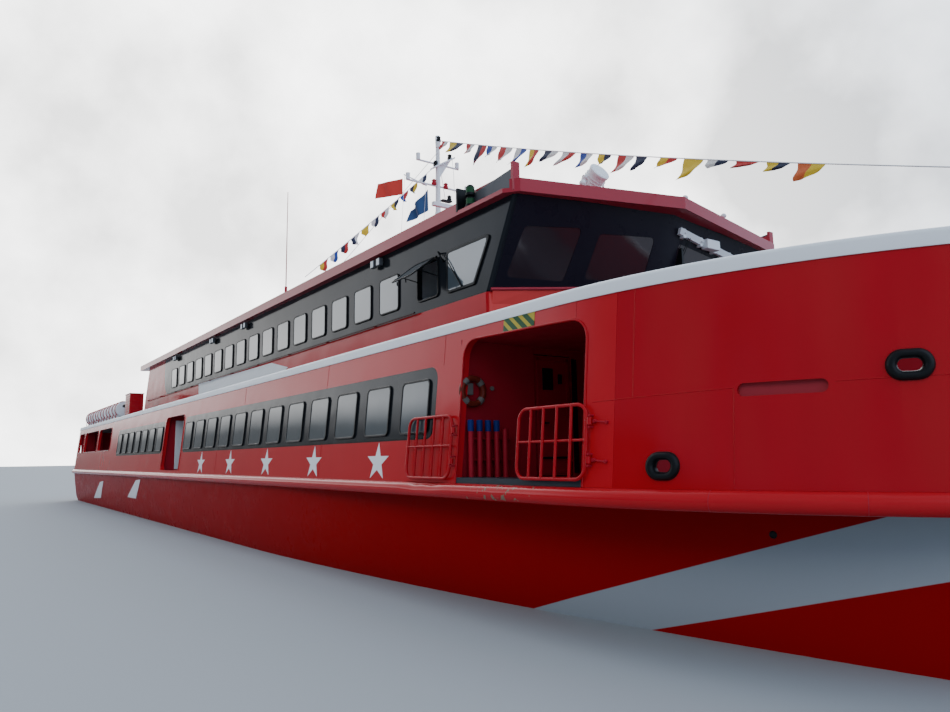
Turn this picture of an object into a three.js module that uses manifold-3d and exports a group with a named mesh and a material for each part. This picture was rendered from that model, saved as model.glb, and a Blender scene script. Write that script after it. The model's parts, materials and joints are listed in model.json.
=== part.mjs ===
// A twin-hulled passenger ferry, two decks and a wheelhouse, afloat at its moorings.
// All sizes below are those of the full-size vessel in millimetres; the root group scales them 1:2.
// +X runs to the bow, +Y to port, +Z up; the origin is on the waterline, amidships, on the centreline.

import * as THREE from 'three';
import { mergeVertices } from 'three/addons/utils/BufferGeometryUtils.js';
import Module from 'manifold-3d';

const wasm = await Module();
wasm.setup();

const MODEL_SCALE = 1 / 2;
const GAP = 0.8; // between pieces that touch

// Driving dimensions of the hulls and decks
const STERN_X = -27400;
const BOW_START_X = 20000; // where the sides begin to curve in
const BOW_LENGTH = 7500; // length of the curved bow
const SIDE_Y = 6400; // half beam at the main deck
const TUMBLEHOME = Math.tan(THREE.MathUtils.degToRad(5.3)); // inward lean of the sides
const DRAFT = 1600;
const DECK_Z = 2000; // main deck
const DECK_SLAB = 250;
const SHEER_Z = 4530; // underside of the sheer band
const SHEER_TOP_Z = 4730;
const SIDE_PLATE = 120; // thickness of the side walls
const WALL = 80; // thickness of inner walls
const UPPER_DECK_Z = SHEER_Z - GAP; // walking surface of the upper deck
const CEILING_Z = 4380; // underside of the upper deck
const WET_DECK_Z = 1000; // underside of the structure between the hulls
const TUNNEL_HALF = 2680; // half width of that structure

// Doors, windows and bays along the sides
const JOINT_X = 60; // where the forward and after side walls meet
const BULWARK_X = 21300; // where the bow bulwark begins
const FORE_DOOR = { aft: 17900, fore: 20820, low: 2090, high: 4270, round: 300 };
const MID_DOOR = { aft: -2900, fore: -100, low: 2090, high: 4120, round: 250 };
const MAIN_WINDOW = { width: 930, low: 2860, high: 3770, pitch: 1430, round: 90 };
const FORE_WINDOWS = { count: 12, foremost: 16900 };
const AFT_WINDOWS = { count: 7, foremost: -3280 };
const LOBBY = { aft: -3060, fore: 10, innerY: 3600 };
const BAYS = [
  { aft: -19100, fore: -15100 },
  { aft: -24400, fore: -19500 },
  { aft: -26900, fore: -24800 },
];
const BAY_HEIGHT = { low: 3050, high: 4250 };
const SALOON_AFT_X = -14900;
const VESTIBULE_AFT_X = 17800;
const VESTIBULE_FORE_X = 21100;
const VESTIBULE_INNER_Y = 3400;

// Upper deckhouse, wheelhouse and roof
const HOUSE_Y = 4300;
const HOUSE_PLATE = 100;
const HOUSE_AFT_BASE_X = -17500;
const HOUSE_AFT_TOP_X = -16100;
const HOUSE_FRONT_X = 16000;
const APEX = 650; // how far the front is pushed out on the centreline, at the sill
const APEX_TOP = 300; // the same, under the roof
const SILL_Z = 5740; // where the wheelhouse front begins to lean forward
const SILL_RISE = { edge: 120, slope: 0.09 }; // the foot of its black front over that, rising inward
const ROOF_Z = 7580; // underside of the roof
const RAKE = 950; // how far the wheelhouse front leans forward
const ROOF_Y = 4520;
const ROOF_EDGE = 270;
const ROOF_CAMBER = 280; // how much higher the roof is on the centreline than at its edges
const ROOF_AFT_X = -17500;
const ROOF_CORNER_X = 17100;
const ROOF_APEX = 580; // how far the roof is pushed out on the centreline
const UPPER_WINDOW = { width: 960, low: 6060, high: 6930, pitch: 1470, round: 90 };
const UPPER_WINDOWS = { count: 16, foremost: 12300 };
const BRIDGE_BULKHEAD_X = 12700;

const RED = 0xa5211c;
const DARK_RED = 0x5a0c0c;
const WHITE = 0xd2d6da;
const GREY = 0x6f7377;
const BLACK = 0x17161a;
const GLASS = 0x3c484e;
const BRONZE = 0x9a7440;

const ferry = new THREE.Group();
ferry.name = 'ferry';
ferry.scale.setScalar(MODEL_SCALE);

// Geometry to solid and back
function toSolid(geometry) {
  const bare = geometry.clone();
  bare.deleteAttribute('normal');
  bare.deleteAttribute('uv');
  const merged = mergeVertices(bare, 1e-3);
  const vertProperties = new Float32Array(merged.attributes.position.array);
  const triVerts = new Uint32Array(merged.index.array);
  return new wasm.Manifold(new wasm.Mesh({ numProp: 3, vertProperties, triVerts }));
}

function toGeometry(solid) {
  const mesh = solid.getMesh();
  const geometry = new THREE.BufferGeometry();
  geometry.setAttribute('position', new THREE.BufferAttribute(new Float32Array(mesh.vertProperties), 3));
  geometry.setIndex(new THREE.BufferAttribute(new Uint32Array(mesh.triVerts), 1));
  return geometry;
}

function join(first, ...rest) {
  return toGeometry(rest.reduce((solid, extra) => solid.add(toSolid(extra)), toSolid(first)));
}

function overlap(first, second) {
  return toGeometry(toSolid(first).intersect(toSolid(second)));
}

function cut(body, ...tools) {
  return toGeometry(tools.reduce((solid, tool) => solid.subtract(toSolid(tool)), toSolid(body)));
}

function mesh(name, geometry, color, options = {}) {
  const { metalness = 0, roughness = 0.45, parent = ferry } = options;
  const material = new THREE.MeshStandardMaterial({ color, roughness, metalness });
  const piece = new THREE.Mesh(geometry, material);
  piece.name = name;
  parent.add(piece);
  return piece;
}

// A closed skin over a row of rings of points, capped at both ends
function loft(rings) {
  const size = rings[0].length;
  const positions = rings.flat(2);
  const triangles = [];
  for (let r = 0; r + 1 < rings.length; r += 1) {
    for (let k = 0; k < size; k += 1) {
      const a = r * size + k;
      const b = r * size + ((k + 1) % size);
      triangles.push(a, b, b + size, a, b + size, a + size);
    }
  }
  const capEnd = (ring, first, flip) => {
    const middle = [0, 1, 2].map((axis) => ring.reduce((sum, p) => sum + p[axis], 0) / size);
    const centre = positions.length / 3;
    positions.push(...middle);
    for (let k = 0; k < size; k += 1) {
      const a = first + k;
      const b = first + ((k + 1) % size);
      triangles.push(...(flip ? [b, a, centre] : [a, b, centre]));
    }
  };
  capEnd(rings[0], 0, true);
  capEnd(rings.at(-1), (rings.length - 1) * size, false);
  const geometry = new THREE.BufferGeometry();
  geometry.setAttribute('position', new THREE.Float32BufferAttribute(positions, 3));
  geometry.setIndex(volume(positions, triangles) < 0 ? reversed(triangles) : triangles);
  return geometry;
}

// A closed skin over a loop of rings, the last joined to the first
function ringLoop(rings) {
  const size = rings[0].length;
  const positions = rings.flat(2);
  const triangles = [];
  rings.forEach((_, r) => {
    const next = ((r + 1) % rings.length) * size;
    for (let k = 0; k < size; k += 1) {
      const j = (k + 1) % size;
      triangles.push(r * size + k, r * size + j, next + j, r * size + k, next + j, next + k);
    }
  });
  const geometry = new THREE.BufferGeometry();
  geometry.setAttribute('position', new THREE.Float32BufferAttribute(positions, 3));
  geometry.setIndex(volume(positions, triangles) < 0 ? reversed(triangles) : triangles);
  return geometry;
}

function volume(positions, triangles) {
  let total = 0;
  const corner = (i) => new THREE.Vector3().fromArray(positions, i * 3);
  for (let t = 0; t < triangles.length; t += 3) {
    const [a, b, c] = [0, 1, 2].map((k) => corner(triangles[t + k]));
    total += a.dot(b.cross(c));
  }
  return total;
}

function reversed(triangles) {
  const turned = [];
  for (let t = 0; t < triangles.length; t += 3) {
    turned.push(triangles[t], triangles[t + 2], triangles[t + 1]);
  }
  return turned;
}

// Simple shapes at their place
function box(low, high) {
  const size = high.map((value, axis) => value - low[axis]);
  const geometry = new THREE.BoxGeometry(...size);
  return geometry.translate(...low.map((value, axis) => value + size[axis] / 2));
}

function rod(from, to, radius, sides = 8, endRadius = radius) {
  const start = new THREE.Vector3(...from);
  const end = new THREE.Vector3(...to);
  const direction = end.clone().sub(start);
  const geometry = new THREE.CylinderGeometry(endRadius, radius, direction.length(), sides);
  const turn = new THREE.Quaternion().setFromUnitVectors(new THREE.Vector3(0, 1, 0), direction.clone().normalize());
  geometry.applyQuaternion(turn);
  const middle = start.add(end).multiplyScalar(0.5);
  return geometry.translate(middle.x, middle.y, middle.z);
}

// An outline in the x-z plane, extruded across from yLow to yHigh
function profileXZ(points, yLow, yHigh) {
  const shape = new THREE.Shape(points.map(([x, z]) => new THREE.Vector2(x, z)));
  const geometry = new THREE.ExtrudeGeometry(shape, { depth: yHigh - yLow, bevelEnabled: false });
  return geometry.rotateX(Math.PI / 2).translate(0, yHigh, 0);
}

// An outline in the x-y plane, extruded up from zLow to zHigh
function profileXY(points, zLow, zHigh) {
  const shape = new THREE.Shape(points.map(([x, y]) => new THREE.Vector2(x, y)));
  const geometry = new THREE.ExtrudeGeometry(shape, { depth: zHigh - zLow, bevelEnabled: false });
  return geometry.translate(0, 0, zLow);
}

// A rectangle with rounded corners as points, with so many steps to a corner
function roundedRect(x0, x1, z0, z1, radius, steps = 1) {
  const corners = [
    [x1 - radius, z1 - radius, 0],
    [x0 + radius, z1 - radius, 90],
    [x0 + radius, z0 + radius, 180],
    [x1 - radius, z0 + radius, 270],
  ];
  return corners.flatMap(([cx, cz, start]) => Array.from({ length: steps + 1 }, (_, step) => {
    const angle = THREE.MathUtils.degToRad(start + (90 * step) / steps);
    return [cx + radius * Math.cos(angle), cz + radius * Math.sin(angle)];
  }));
}

function mirrorY(geometry) {
  return toGeometry(toSolid(geometry).mirror([0, 1, 0]));
}

// The outline of the sides seen from above: straight, then a quarter of an ellipse to the stem
const BOW_STEPS = 16;

function halfBreadth(x, z) {
  const side = SIDE_Y - (z - DECK_Z) * TUMBLEHOME;
  const along = Math.max(0, (x - BOW_START_X) / BOW_LENGTH);
  return side * Math.sqrt(Math.max(0, 1 - along * along));
}

function inwardNormal(x, z) {
  const side = SIDE_Y - (z - DECK_Z) * TUMBLEHOME;
  if (x <= BOW_START_X) return [0, 1];
  const y = halfBreadth(x, z);
  const normal = new THREE.Vector2(-(x - BOW_START_X) / BOW_LENGTH ** 2, y / side ** 2).normalize();
  return [normal.x, normal.y];
}

// Stations along the starboard side from one x to another, closer together round the bow
function stations(aft, fore) {
  const inside = [];
  for (let step = 0; step <= BOW_STEPS; step += 1) {
    const angle = (step / BOW_STEPS) * (Math.PI / 2);
    inside.push(BOW_START_X + BOW_LENGTH * Math.sin(angle));
  }
  return [aft, ...inside.filter((x) => x > aft + 50 && x < fore - 50), fore];
}

// A point at the given depth inside the starboard skin, at height z
function skinPoint(x, z, depth) {
  const [nx, ny] = inwardNormal(x, z);
  return [x + nx * depth, -halfBreadth(x, z) + ny * depth, z];
}

// A wall or rail that follows the starboard side; the section is a list of [depth, z]
function sideRun(aft, fore, section) {
  return stations(aft, fore).map((x) => section.map(([depth, z]) => skinPoint(x, z, depth)));
}

// The same, carried round the stem and back along the port side
function roundRun(aft, section) {
  const starboard = sideRun(aft, BOW_START_X + BOW_LENGTH, section);
  const tip = starboard.pop().map(([x, , z]) => [x, 0, z]);
  const port = starboard.map((ring) => ring.map(([x, y, z]) => [x, -y, z])).reverse();
  return [...starboard, tip, ...port];
}

// Hulls: each ring runs down the outer side, under the keel and up the inner side
const HULL_LEVELS = [
  { z: 1750, outer: 6380, inner: 2700, stern: STERN_X, stem: 25300 },
  { z: WET_DECK_Z, outer: 6290, inner: 2700, stern: STERN_X, stem: 25200 },
  { z: 300, outer: 6180, inner: 2760, stern: STERN_X, stem: 25000 },
  { z: -400, outer: 5980, inner: 2950, stern: STERN_X, stem: 24700 },
  { z: -1100, outer: 5380, inner: 3500, stern: STERN_X, stem: 24200 },
  { z: -DRAFT, outer: 4750, inner: 4150, stern: STERN_X, stem: 23400 },
];
const HULL_STATIONS = [0, 0.12, 0.3, 0.55, 0.7, 0.78, 0.85, 0.91, 0.96, 1];
const HULL_TOP_Z = 1750 - GAP;
const STEM_Y = 4080;
const STEM_HALF = 45;
const KEEL_RISE = { from: 0.3, depth: 1300 }; // the keel sweeps up to the stern

function hullPoint(level, t, side) {
  const x = level.stern + (level.stem - level.stern) * t;
  const entry = Math.max(0, (t - 0.68) / 0.32);
  const fullness = level.z > 0 ? 2.6 : 1.8; // fuller at deck level than under water
  const shrink = 1 - entry ** fullness;
  const centre = STEM_Y + ((level.outer + level.inner) / 2 - STEM_Y) * (1 - entry);
  const half = STEM_HALF + ((level.outer - level.inner) / 2 - STEM_HALF) * shrink;
  const limit = halfBreadth(x, DECK_Z) - 25;
  const y = Math.max(centre + side * half, level.inner);
  const rise = Math.max(0, 1 - t / KEEL_RISE.from);
  const lift = rise * KEEL_RISE.depth * Math.max(0, -level.z / DRAFT) ** 1.5;
  return [x, -Math.min(y, Math.max(limit, STEM_Y + STEM_HALF)), Math.min(level.z, HULL_TOP_Z) + lift];
}

const SHAFT_SIDES = 24;
const BORE_OVERSIZE = 1 / Math.cos(Math.PI / SHAFT_SIDES); // a faceted bore clears a faceted shaft all round
const SHAFT = { y: 4450, aftX: -24550, foreX: -18200, aftZ: -1180, foreZ: -760, radius: 70 };
const PROPELLER_RADIUS = 540;
const RUDDER = { x: -26100, stock: 60, chordFore: 380, chordAft: 720, low: -1680 };
const ENGINE = { aft: -15600, fore: -12000, inner: 3800, outer: 5100, low: -300, high: 1450 };
const POCKET_CLEARANCE = 250;

function makeHull() {
  const rings = HULL_STATIONS.map((t) => [
    ...HULL_LEVELS.map((level) => hullPoint(level, t, 1)),
    ...[...HULL_LEVELS].reverse().map((level) => hullPoint(level, t, -1)),
  ]);
  const pocket = box(
    [ENGINE.aft - POCKET_CLEARANCE, -ENGINE.outer - POCKET_CLEARANCE, ENGINE.low - GAP],
    [ENGINE.fore + POCKET_CLEARANCE, -ENGINE.inner + POCKET_CLEARANCE, HULL_TOP_Z + 200],
  );
  const stockRadius = (RUDDER.stock + GAP) * BORE_OVERSIZE;
  const stockBore = rod([RUDDER.x, -SHAFT.y, -900], [RUDDER.x, -SHAFT.y, 120], stockRadius, SHAFT_SIDES);
  const sternTube = rod(shaftPoint(0.44), shaftPoint(0.99), SHAFT.radius * 1.9, 10);
  const tubeBore = rod(shaftPoint(0.2), shaftPoint(0.9), (SHAFT.radius + GAP) * BORE_OVERSIZE, SHAFT_SIDES);
  return cut(join(loft(rings), sternTube), pocket, stockBore, tubeBore);
}

// A point on the starboard shaft, from 0 at the propeller to 1 inside the hull
function shaftPoint(t) {
  return [
    SHAFT.aftX + (SHAFT.foreX - SHAFT.aftX) * t,
    -SHAFT.y,
    SHAFT.aftZ + (SHAFT.foreZ - SHAFT.aftZ) * t,
  ];
}

const hull = makeHull();
mesh('hull_starboard', hull, DARK_RED, { roughness: 0.35 });
mesh('hull_port', mirrorY(hull), DARK_RED, { roughness: 0.35 });

const engine = box(
  [ENGINE.aft, -ENGINE.outer, ENGINE.low],
  [ENGINE.fore, -ENGINE.inner, ENGINE.high],
);
mesh('engine_starboard', engine, GREY);
mesh('engine_port', mirrorY(engine), GREY);

// The main deck with the structure that bridges the hulls, and on it the mooring bitts
// and a landing plate inside each side door
const LANDING = { outer: 6150, inner: 5350, inset: 200, thick: 30 };

function makeBridgeDeck() {
  const outline = roundRun(STERN_X, [[22, DECK_Z]]).map(([[x, y]]) => [x, y]);
  const slab = profileXY(outline, DECK_Z - DECK_SLAB, DECK_Z);
  const tunnel = profileXZ([
    [STERN_X, WET_DECK_Z],
    [17500, WET_DECK_Z],
    [20500, 1350],
    [24000, DECK_Z - DECK_SLAB],
    [24000, DECK_Z - DECK_SLAB + 20],
    [STERN_X, DECK_Z - DECK_SLAB + 20],
  ], -TUNNEL_HALF, TUNNEL_HALF);
  const bitts = [];
  for (const side of [-1, 1]) {
    for (const x of [22600, 23200]) {
      bitts.push(rod([x, side * 4300, DECK_Z - 50], [x, side * 4300, DECK_Z + 600], 130, 10));
    }
  }
  const landings = [FORE_DOOR, MID_DOOR].flatMap((door) => [-1, 1].map((side) => {
    const ys = [side * LANDING.outer, side * LANDING.inner];
    return box(
      [door.aft + LANDING.inset, Math.min(...ys), DECK_Z - 50],
      [door.fore - LANDING.inset, Math.max(...ys), DECK_Z + LANDING.thick],
    );
  }));
  return join(slab, tunnel, ...bitts, ...landings);
}

mesh('bridge_deck', makeBridgeDeck(), GREY, { roughness: 0.7 });

// The rubbing rail, a half-round that runs round the deck edge from stern to stern
const RAIL_PROUD = 120;
const railSection = [
  [20, DECK_Z - DECK_SLAB + GAP],
  [-RAIL_PROUD * 0.6, DECK_Z - DECK_SLAB + GAP],
  [-RAIL_PROUD, DECK_Z - DECK_SLAB + 70],
  [-RAIL_PROUD, DECK_Z - 90],
  [-RAIL_PROUD * 0.7, DECK_Z - 30],
  [20, DECK_Z - GAP],
];
mesh('rub_rail', loft(roundRun(STERN_X, railSection)), RED);

// The white band on top of the sides
const bandSection = [
  [SIDE_PLATE + 30, SHEER_Z],
  [-18, SHEER_Z],
  [-18, SHEER_TOP_Z - 30],
  [10, SHEER_TOP_Z],
  [SIDE_PLATE + 30, SHEER_TOP_Z],
];
mesh('sheer_band', loft(roundRun(STERN_X, bandSection)), WHITE);

// Side walls with their doors, windows and open bays
const plateSection = [
  [0, DECK_Z + GAP],
  [0, SHEER_Z - GAP],
  [SIDE_PLATE, SHEER_Z - GAP],
  [SIDE_PLATE, DECK_Z + GAP],
];

function opening(aft, fore, low, high, round, steps) {
  return profileXZ(roundedRect(aft, fore, low, high, round, steps), -SIDE_Y - 400, -5300);
}

function windowRow(row, size, make) {
  return Array.from({ length: row.count }, (_, index) => {
    const fore = row.foremost - index * size.pitch;
    return make(fore - size.width, fore, size.low, size.high, size.round);
  });
}

// Boarding gates: a rounded tube frame with bars, hung outside the hull on the door jamb
const GATE = { low: 2120, high: 3080, off: 70, tube: 20, round: 170, knuckle: 90 };
const GATES = { foreHinge: 20960, foreFree: 19480, aftHinge: 17840, aftFree: 16320 };
const GATE_HINGE_Z = [GATE.low + 230, GATE.high - 230];

// A place on the line of the gates, outside the leaning starboard side
function outside(x, z, off = GATE.off) {
  return [x, -(SIDE_Y - (z - DECK_Z) * TUMBLEHOME) - off, z];
}

// The lug under each knuckle of a gate, and the arm that holds it to the side
function gateLugs(x) {
  return GATE_HINGE_Z.flatMap((z) => {
    const top = z - GATE.knuckle / 2 - GAP;
    return [
      rod(outside(x, top - 40), outside(x, top), 28, 6),
      rod(outside(x, top - 22, 50), outside(x, top - 22, -90), 14, 4),
    ];
  });
}

function makeSideFore() {
  const door = opening(FORE_DOOR.aft, FORE_DOOR.fore, FORE_DOOR.low, FORE_DOOR.high, FORE_DOOR.round, 3);
  const windows = windowRow(FORE_WINDOWS, MAIN_WINDOW, opening);
  const wall = cut(loft(sideRun(JOINT_X, BULWARK_X - GAP, plateSection)), door, ...windows);
  return join(wall, ...gateLugs(GATES.foreHinge), ...gateLugs(GATES.aftHinge));
}

function makeSideAft() {
  const door = opening(MID_DOOR.aft, MID_DOOR.fore, MID_DOOR.low, MID_DOOR.high, MID_DOOR.round, 3);
  const windows = windowRow(AFT_WINDOWS, MAIN_WINDOW, opening);
  const bays = BAYS.map((bay) => opening(bay.aft, bay.fore, BAY_HEIGHT.low, BAY_HEIGHT.high, 250, 2));
  return cut(loft(sideRun(STERN_X, JOINT_X - GAP, plateSection)), door, ...windows, ...bays);
}

const sideFore = makeSideFore();
const sideAft = makeSideAft();
mesh('side_fore_starboard', sideFore, RED);
mesh('side_fore_port', mirrorY(sideFore), RED);
mesh('side_aft_starboard', sideAft, RED);
mesh('side_aft_port', mirrorY(sideAft), RED);

// The bow bulwark with an oval chock and a lower fairlead on each side
const CHOCKS = [
  { x: 24100, z: 3360, wide: 215, tall: 115 },
  { x: 22050, z: 2330, wide: 150, tall: 110 },
];
const CHOCK_ROLL = 85; // radius of the rolled lip

// Unit vectors at the starboard skin: along it, out of it
function skinAxes(x, z) {
  const [nx, ny] = inwardNormal(x, z);
  return { along: new THREE.Vector3(ny, -nx, 0), out: new THREE.Vector3(-nx, -ny, 0) };
}

function chockLip({ x, z, wide, tall }) {
  const { along, out } = skinAxes(x, z);
  const centre = new THREE.Vector3(...skinPoint(x, z, SIDE_PLATE / 2));
  const steps = 16;
  const sides = 6;
  const rings = Array.from({ length: steps }, (_, step) => {
    const angle = (step / steps) * Math.PI * 2;
    return Array.from({ length: sides }, (__, side) => {
      const turn = (side / sides) * Math.PI * 2;
      const reach = CHOCK_ROLL * (1 + Math.cos(turn));
      const point = centre.clone()
        .addScaledVector(along, (wide + reach) * Math.cos(angle))
        .addScaledVector(out, Math.sin(turn) * CHOCK_ROLL * 1.25);
      point.z += (tall + reach) * Math.sin(angle);
      return point.toArray();
    });
  });
  return ringLoop(rings);
}

function chockHole({ x, z, wide, tall }) {
  const { out } = skinAxes(x, z);
  const hole = new THREE.CylinderGeometry(1, 1, 1200, 16);
  hole.rotateX(Math.PI / 2); // axis along z
  hole.scale(wide + CHOCK_ROLL * 0.6, tall + CHOCK_ROLL * 0.6, 1);
  hole.rotateX(Math.PI / 2); // axis along y, tall side up
  hole.rotateZ(Math.atan2(out.y, out.x) + Math.PI / 2);
  return hole.translate(...skinPoint(x, z, SIDE_PLATE / 2));
}

function makeBulwark() {
  const shell = loft(roundRun(BULWARK_X, plateSection));
  const holes = CHOCKS.flatMap((chock) => [chockHole(chock), mirrorY(chockHole(chock))]);
  const lips = CHOCKS.flatMap((chock) => [chockLip(chock), mirrorY(chockLip(chock))]);
  return join(cut(shell, ...holes), ...lips);
}

mesh('bow_bulwark', makeBulwark(), RED);

// Walls inside the sides at main deck level
const INNER_FOOT_Z = DECK_Z + GAP;
const INNER_HEAD_Z = CEILING_Z - GAP;

// Points of a transverse wall that stops short of the leaning sides
function crossWall(aft, fore, innerY, clearance = 3) {
  const [footZ, headZ] = [INNER_FOOT_Z, INNER_HEAD_Z];
  const reach = (z) => -(Math.min(halfBreadth(aft, z), halfBreadth(fore, z)) - SIDE_PLATE - clearance);
  const section = [[reach(footZ), footZ], [reach(headZ), headZ], [-innerY, headZ], [-innerY, footZ]];
  return loft([aft, fore].map((x) => section.map(([y, z]) => [x, y, z])));
}

// The leaf of a door fills its doorway but for the running gap
const SALOON_DOOR = { low: 2060, high: 4230, hingeY: 3730, freeY: 4600, leaf: 50, gap: 12 };
const AFT_DOOR = { low: 2060, high: 4050, width: 900, leaf: 50, gap: 12 };

const DOOR_HINGE = { radius: 11, height: 90, zs: [2350, 3760] };

// Door hinges on a vertical pin: the leaf's knuckle stands on the jamb's, in a notch of the leaf.
// The jamb lies on the side of the pin that jambSide gives, +1 to port or -1 to starboard.
function doorHinges(x, y, jambSide) {
  const { radius, height, zs } = DOOR_HINGE;
  const knuckles = zs.map((z) => rod([x, y, z], [x, y, z + height], radius, 8));
  const lugs = zs.flatMap((z) => {
    const [low, high] = [z - GAP - 50, z - GAP];
    const farY = y + jambSide * 40;
    const arm = box([x - 9, Math.min(y, farY), low], [x + 9, Math.max(y, farY), high]);
    return [rod([x, y, low], [x, y, high], radius, 8), arm];
  });
  const notches = zs.map((z) => box([x - 200, y - 26, z - 62], [x + 200, y + 26, z]));
  return { knuckles, lugs, notches };
}

const saloonHinges = doorHinges(VESTIBULE_AFT_X - 15, -SALOON_DOOR.hingeY, 1);
const aftHinges = doorHinges(SALOON_AFT_X + 15, -AFT_DOOR.width, -1);

function makeForeBulkhead() {
  const wall = crossWall(VESTIBULE_AFT_X - WALL, VESTIBULE_AFT_X, 0);
  const whole = join(wall, mirrorY(wall));
  const doorway = box(
    [VESTIBULE_AFT_X - 300, -SALOON_DOOR.freeY - SALOON_DOOR.gap, SALOON_DOOR.low - SALOON_DOOR.gap],
    [VESTIBULE_AFT_X + 300, -SALOON_DOOR.hingeY + SALOON_DOOR.gap, SALOON_DOOR.high + SALOON_DOOR.gap],
  );
  const open = cut(whole, doorway, mirrorY(doorway));
  return join(open, ...saloonHinges.lugs, ...saloonHinges.lugs.map(mirrorY));
}

mesh('fore_bulkhead', makeForeBulkhead(), DARK_RED);

function makeVestibule() {
  const inner = box(
    [VESTIBULE_AFT_X + GAP, -VESTIBULE_INNER_Y, INNER_FOOT_Z],
    [VESTIBULE_FORE_X, -VESTIBULE_INNER_Y + WALL, INNER_HEAD_Z],
  );
  const front = crossWall(VESTIBULE_FORE_X - WALL, VESTIBULE_FORE_X, VESTIBULE_INNER_Y - WALL / 2, 9);
  return join(inner, front);
}

const vestibule = makeVestibule();
mesh('vestibule_starboard', vestibule, DARK_RED);
mesh('vestibule_port', mirrorY(vestibule), DARK_RED);

function makeLobby() {
  const { aft, fore, innerY } = LOBBY;
  const foreWall = crossWall(fore - WALL, fore, innerY);
  const aftWall = crossWall(aft, aft + WALL, innerY);
  const inner = box([aft, -innerY - WALL, INNER_FOOT_Z], [fore, -innerY, INNER_HEAD_Z]);
  const doorway = box([-2000, -innerY - 300, INNER_FOOT_Z - 10], [-1000, -innerY + 300, 4000]);
  return cut(join(foreWall, aftWall, inner), doorway);
}

const lobby = makeLobby();
mesh('lobby_starboard', lobby, DARK_RED);
mesh('lobby_port', mirrorY(lobby), DARK_RED);

function makeAftBulkhead() {
  const wall = crossWall(SALOON_AFT_X, SALOON_AFT_X + WALL, 0);
  const doorway = box(
    [SALOON_AFT_X - 300, -AFT_DOOR.width - AFT_DOOR.gap, AFT_DOOR.low - AFT_DOOR.gap],
    [SALOON_AFT_X + 300, AFT_DOOR.width + AFT_DOOR.gap, AFT_DOOR.high + AFT_DOOR.gap],
  );
  const open = cut(join(wall, mirrorY(wall)), doorway);
  return join(open, ...aftHinges.lugs, ...aftHinges.lugs.map(mirrorY));
}

mesh('aft_bulkhead', makeAftBulkhead(), RED);

// The upper deck, open over the foredeck between the two vestibules
function makeUpperDeck() {
  const outline = stations(STERN_X + 200, VESTIBULE_FORE_X).map((x) => {
    const [px, py] = skinPoint(x, UPPER_DECK_Z, SIDE_PLATE + 8);
    return [px, py];
  });
  const mirrored = outline.map(([x, y]) => [x, -y]).reverse();
  const slab = profileXY([...outline, ...mirrored], CEILING_Z, UPPER_DECK_Z - GAP);
  const well = box(
    [VESTIBULE_AFT_X, -VESTIBULE_INNER_Y + WALL, CEILING_Z - 100],
    [VESTIBULE_FORE_X + 500, VESTIBULE_INNER_Y - WALL, UPPER_DECK_Z + 100],
  );
  return cut(slab, well);
}

mesh('upper_deck', makeUpperDeck(), GREY, { roughness: 0.7 });

// Upper deckhouse: side walls, raked after wall, vertical front wall
const HOUSE_FOOT_Z = UPPER_DECK_Z;

// The cambered underside of the roof at a distance from the centreline
function roofUnder(y) {
  return ROOF_Z + ROOF_CAMBER * (1 - Math.abs(y) / ROOF_Y);
}

function roofTop(y) {
  return roofUnder(y) + ROOF_EDGE;
}

const HOUSE_HEAD_Z = roofUnder(HOUSE_Y) - GAP; // head of the side walls
const HOPPER_WINDOW = { aft: 13240, fore: 14130 };
const QUARTER_WINDOW = [[14550, 6060], [15540, 6060], [16100, 6930], [14550, 6930]];

function rakeX(base, z) {
  return base + (RAKE * (z - SILL_Z)) / (ROOF_Z - SILL_Z);
}

function houseOpening(aft, fore, low, high, round) {
  return profileXZ(roundedRect(aft, fore, low, high, round), -HOUSE_Y - 200, -HOUSE_Y + 400);
}

const HANDRAIL = { aft: -16500, fore: 13200, z: 5800, off: 90 };

function makeHouseSide() {
  const outline = [
    [HOUSE_AFT_BASE_X, HOUSE_FOOT_Z],
    [HOUSE_FRONT_X, HOUSE_FOOT_Z],
    [HOUSE_FRONT_X, SILL_Z],
    [rakeX(HOUSE_FRONT_X, HOUSE_HEAD_Z), HOUSE_HEAD_Z],
    [HOUSE_AFT_TOP_X, HOUSE_HEAD_Z],
  ];
  const wall = profileXZ(outline, -HOUSE_Y, -HOUSE_Y + HOUSE_PLATE);
  const windows = windowRow(UPPER_WINDOWS, UPPER_WINDOW, houseOpening);
  const { low, high, round } = UPPER_WINDOW;
  const hopper = houseOpening(HOPPER_WINDOW.aft, HOPPER_WINDOW.fore, low, high, round);
  const quarter = profileXZ(QUARTER_WINDOW, -HOUSE_Y - 200, -HOUSE_Y + 400);
  const { aft, fore, z, off } = HANDRAIL;
  const handrail = rod([aft, -HOUSE_Y - off, z], [fore, -HOUSE_Y - off, z], 25, 6);
  const brackets = [];
  for (let x = aft + 600; x < fore; x += 3000) {
    brackets.push(rod([x, -HOUSE_Y + 30, z - 10], [x, -HOUSE_Y - off, z - 10], 18, 4));
  }
  return join(cut(wall, ...windows, hopper, quarter), handrail, ...brackets);
}

const houseSide = makeHouseSide();
mesh('house_side_starboard', houseSide, RED);
mesh('house_side_port', mirrorY(houseSide), RED);

const HOUSE_INSIDE_Y = HOUSE_Y - HOUSE_PLATE - GAP;

// A transverse wall of the deckhouse whose head follows the camber of the roof;
// the outline is a list of [x, z] for the height of its head
function roofHighWall(outlineAt) {
  return loft([-HOUSE_INSIDE_Y, 0, HOUSE_INSIDE_Y].map((y) => (
    outlineAt(roofUnder(y) - GAP).map(([x, z]) => [x, y, z]))));
}

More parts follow.
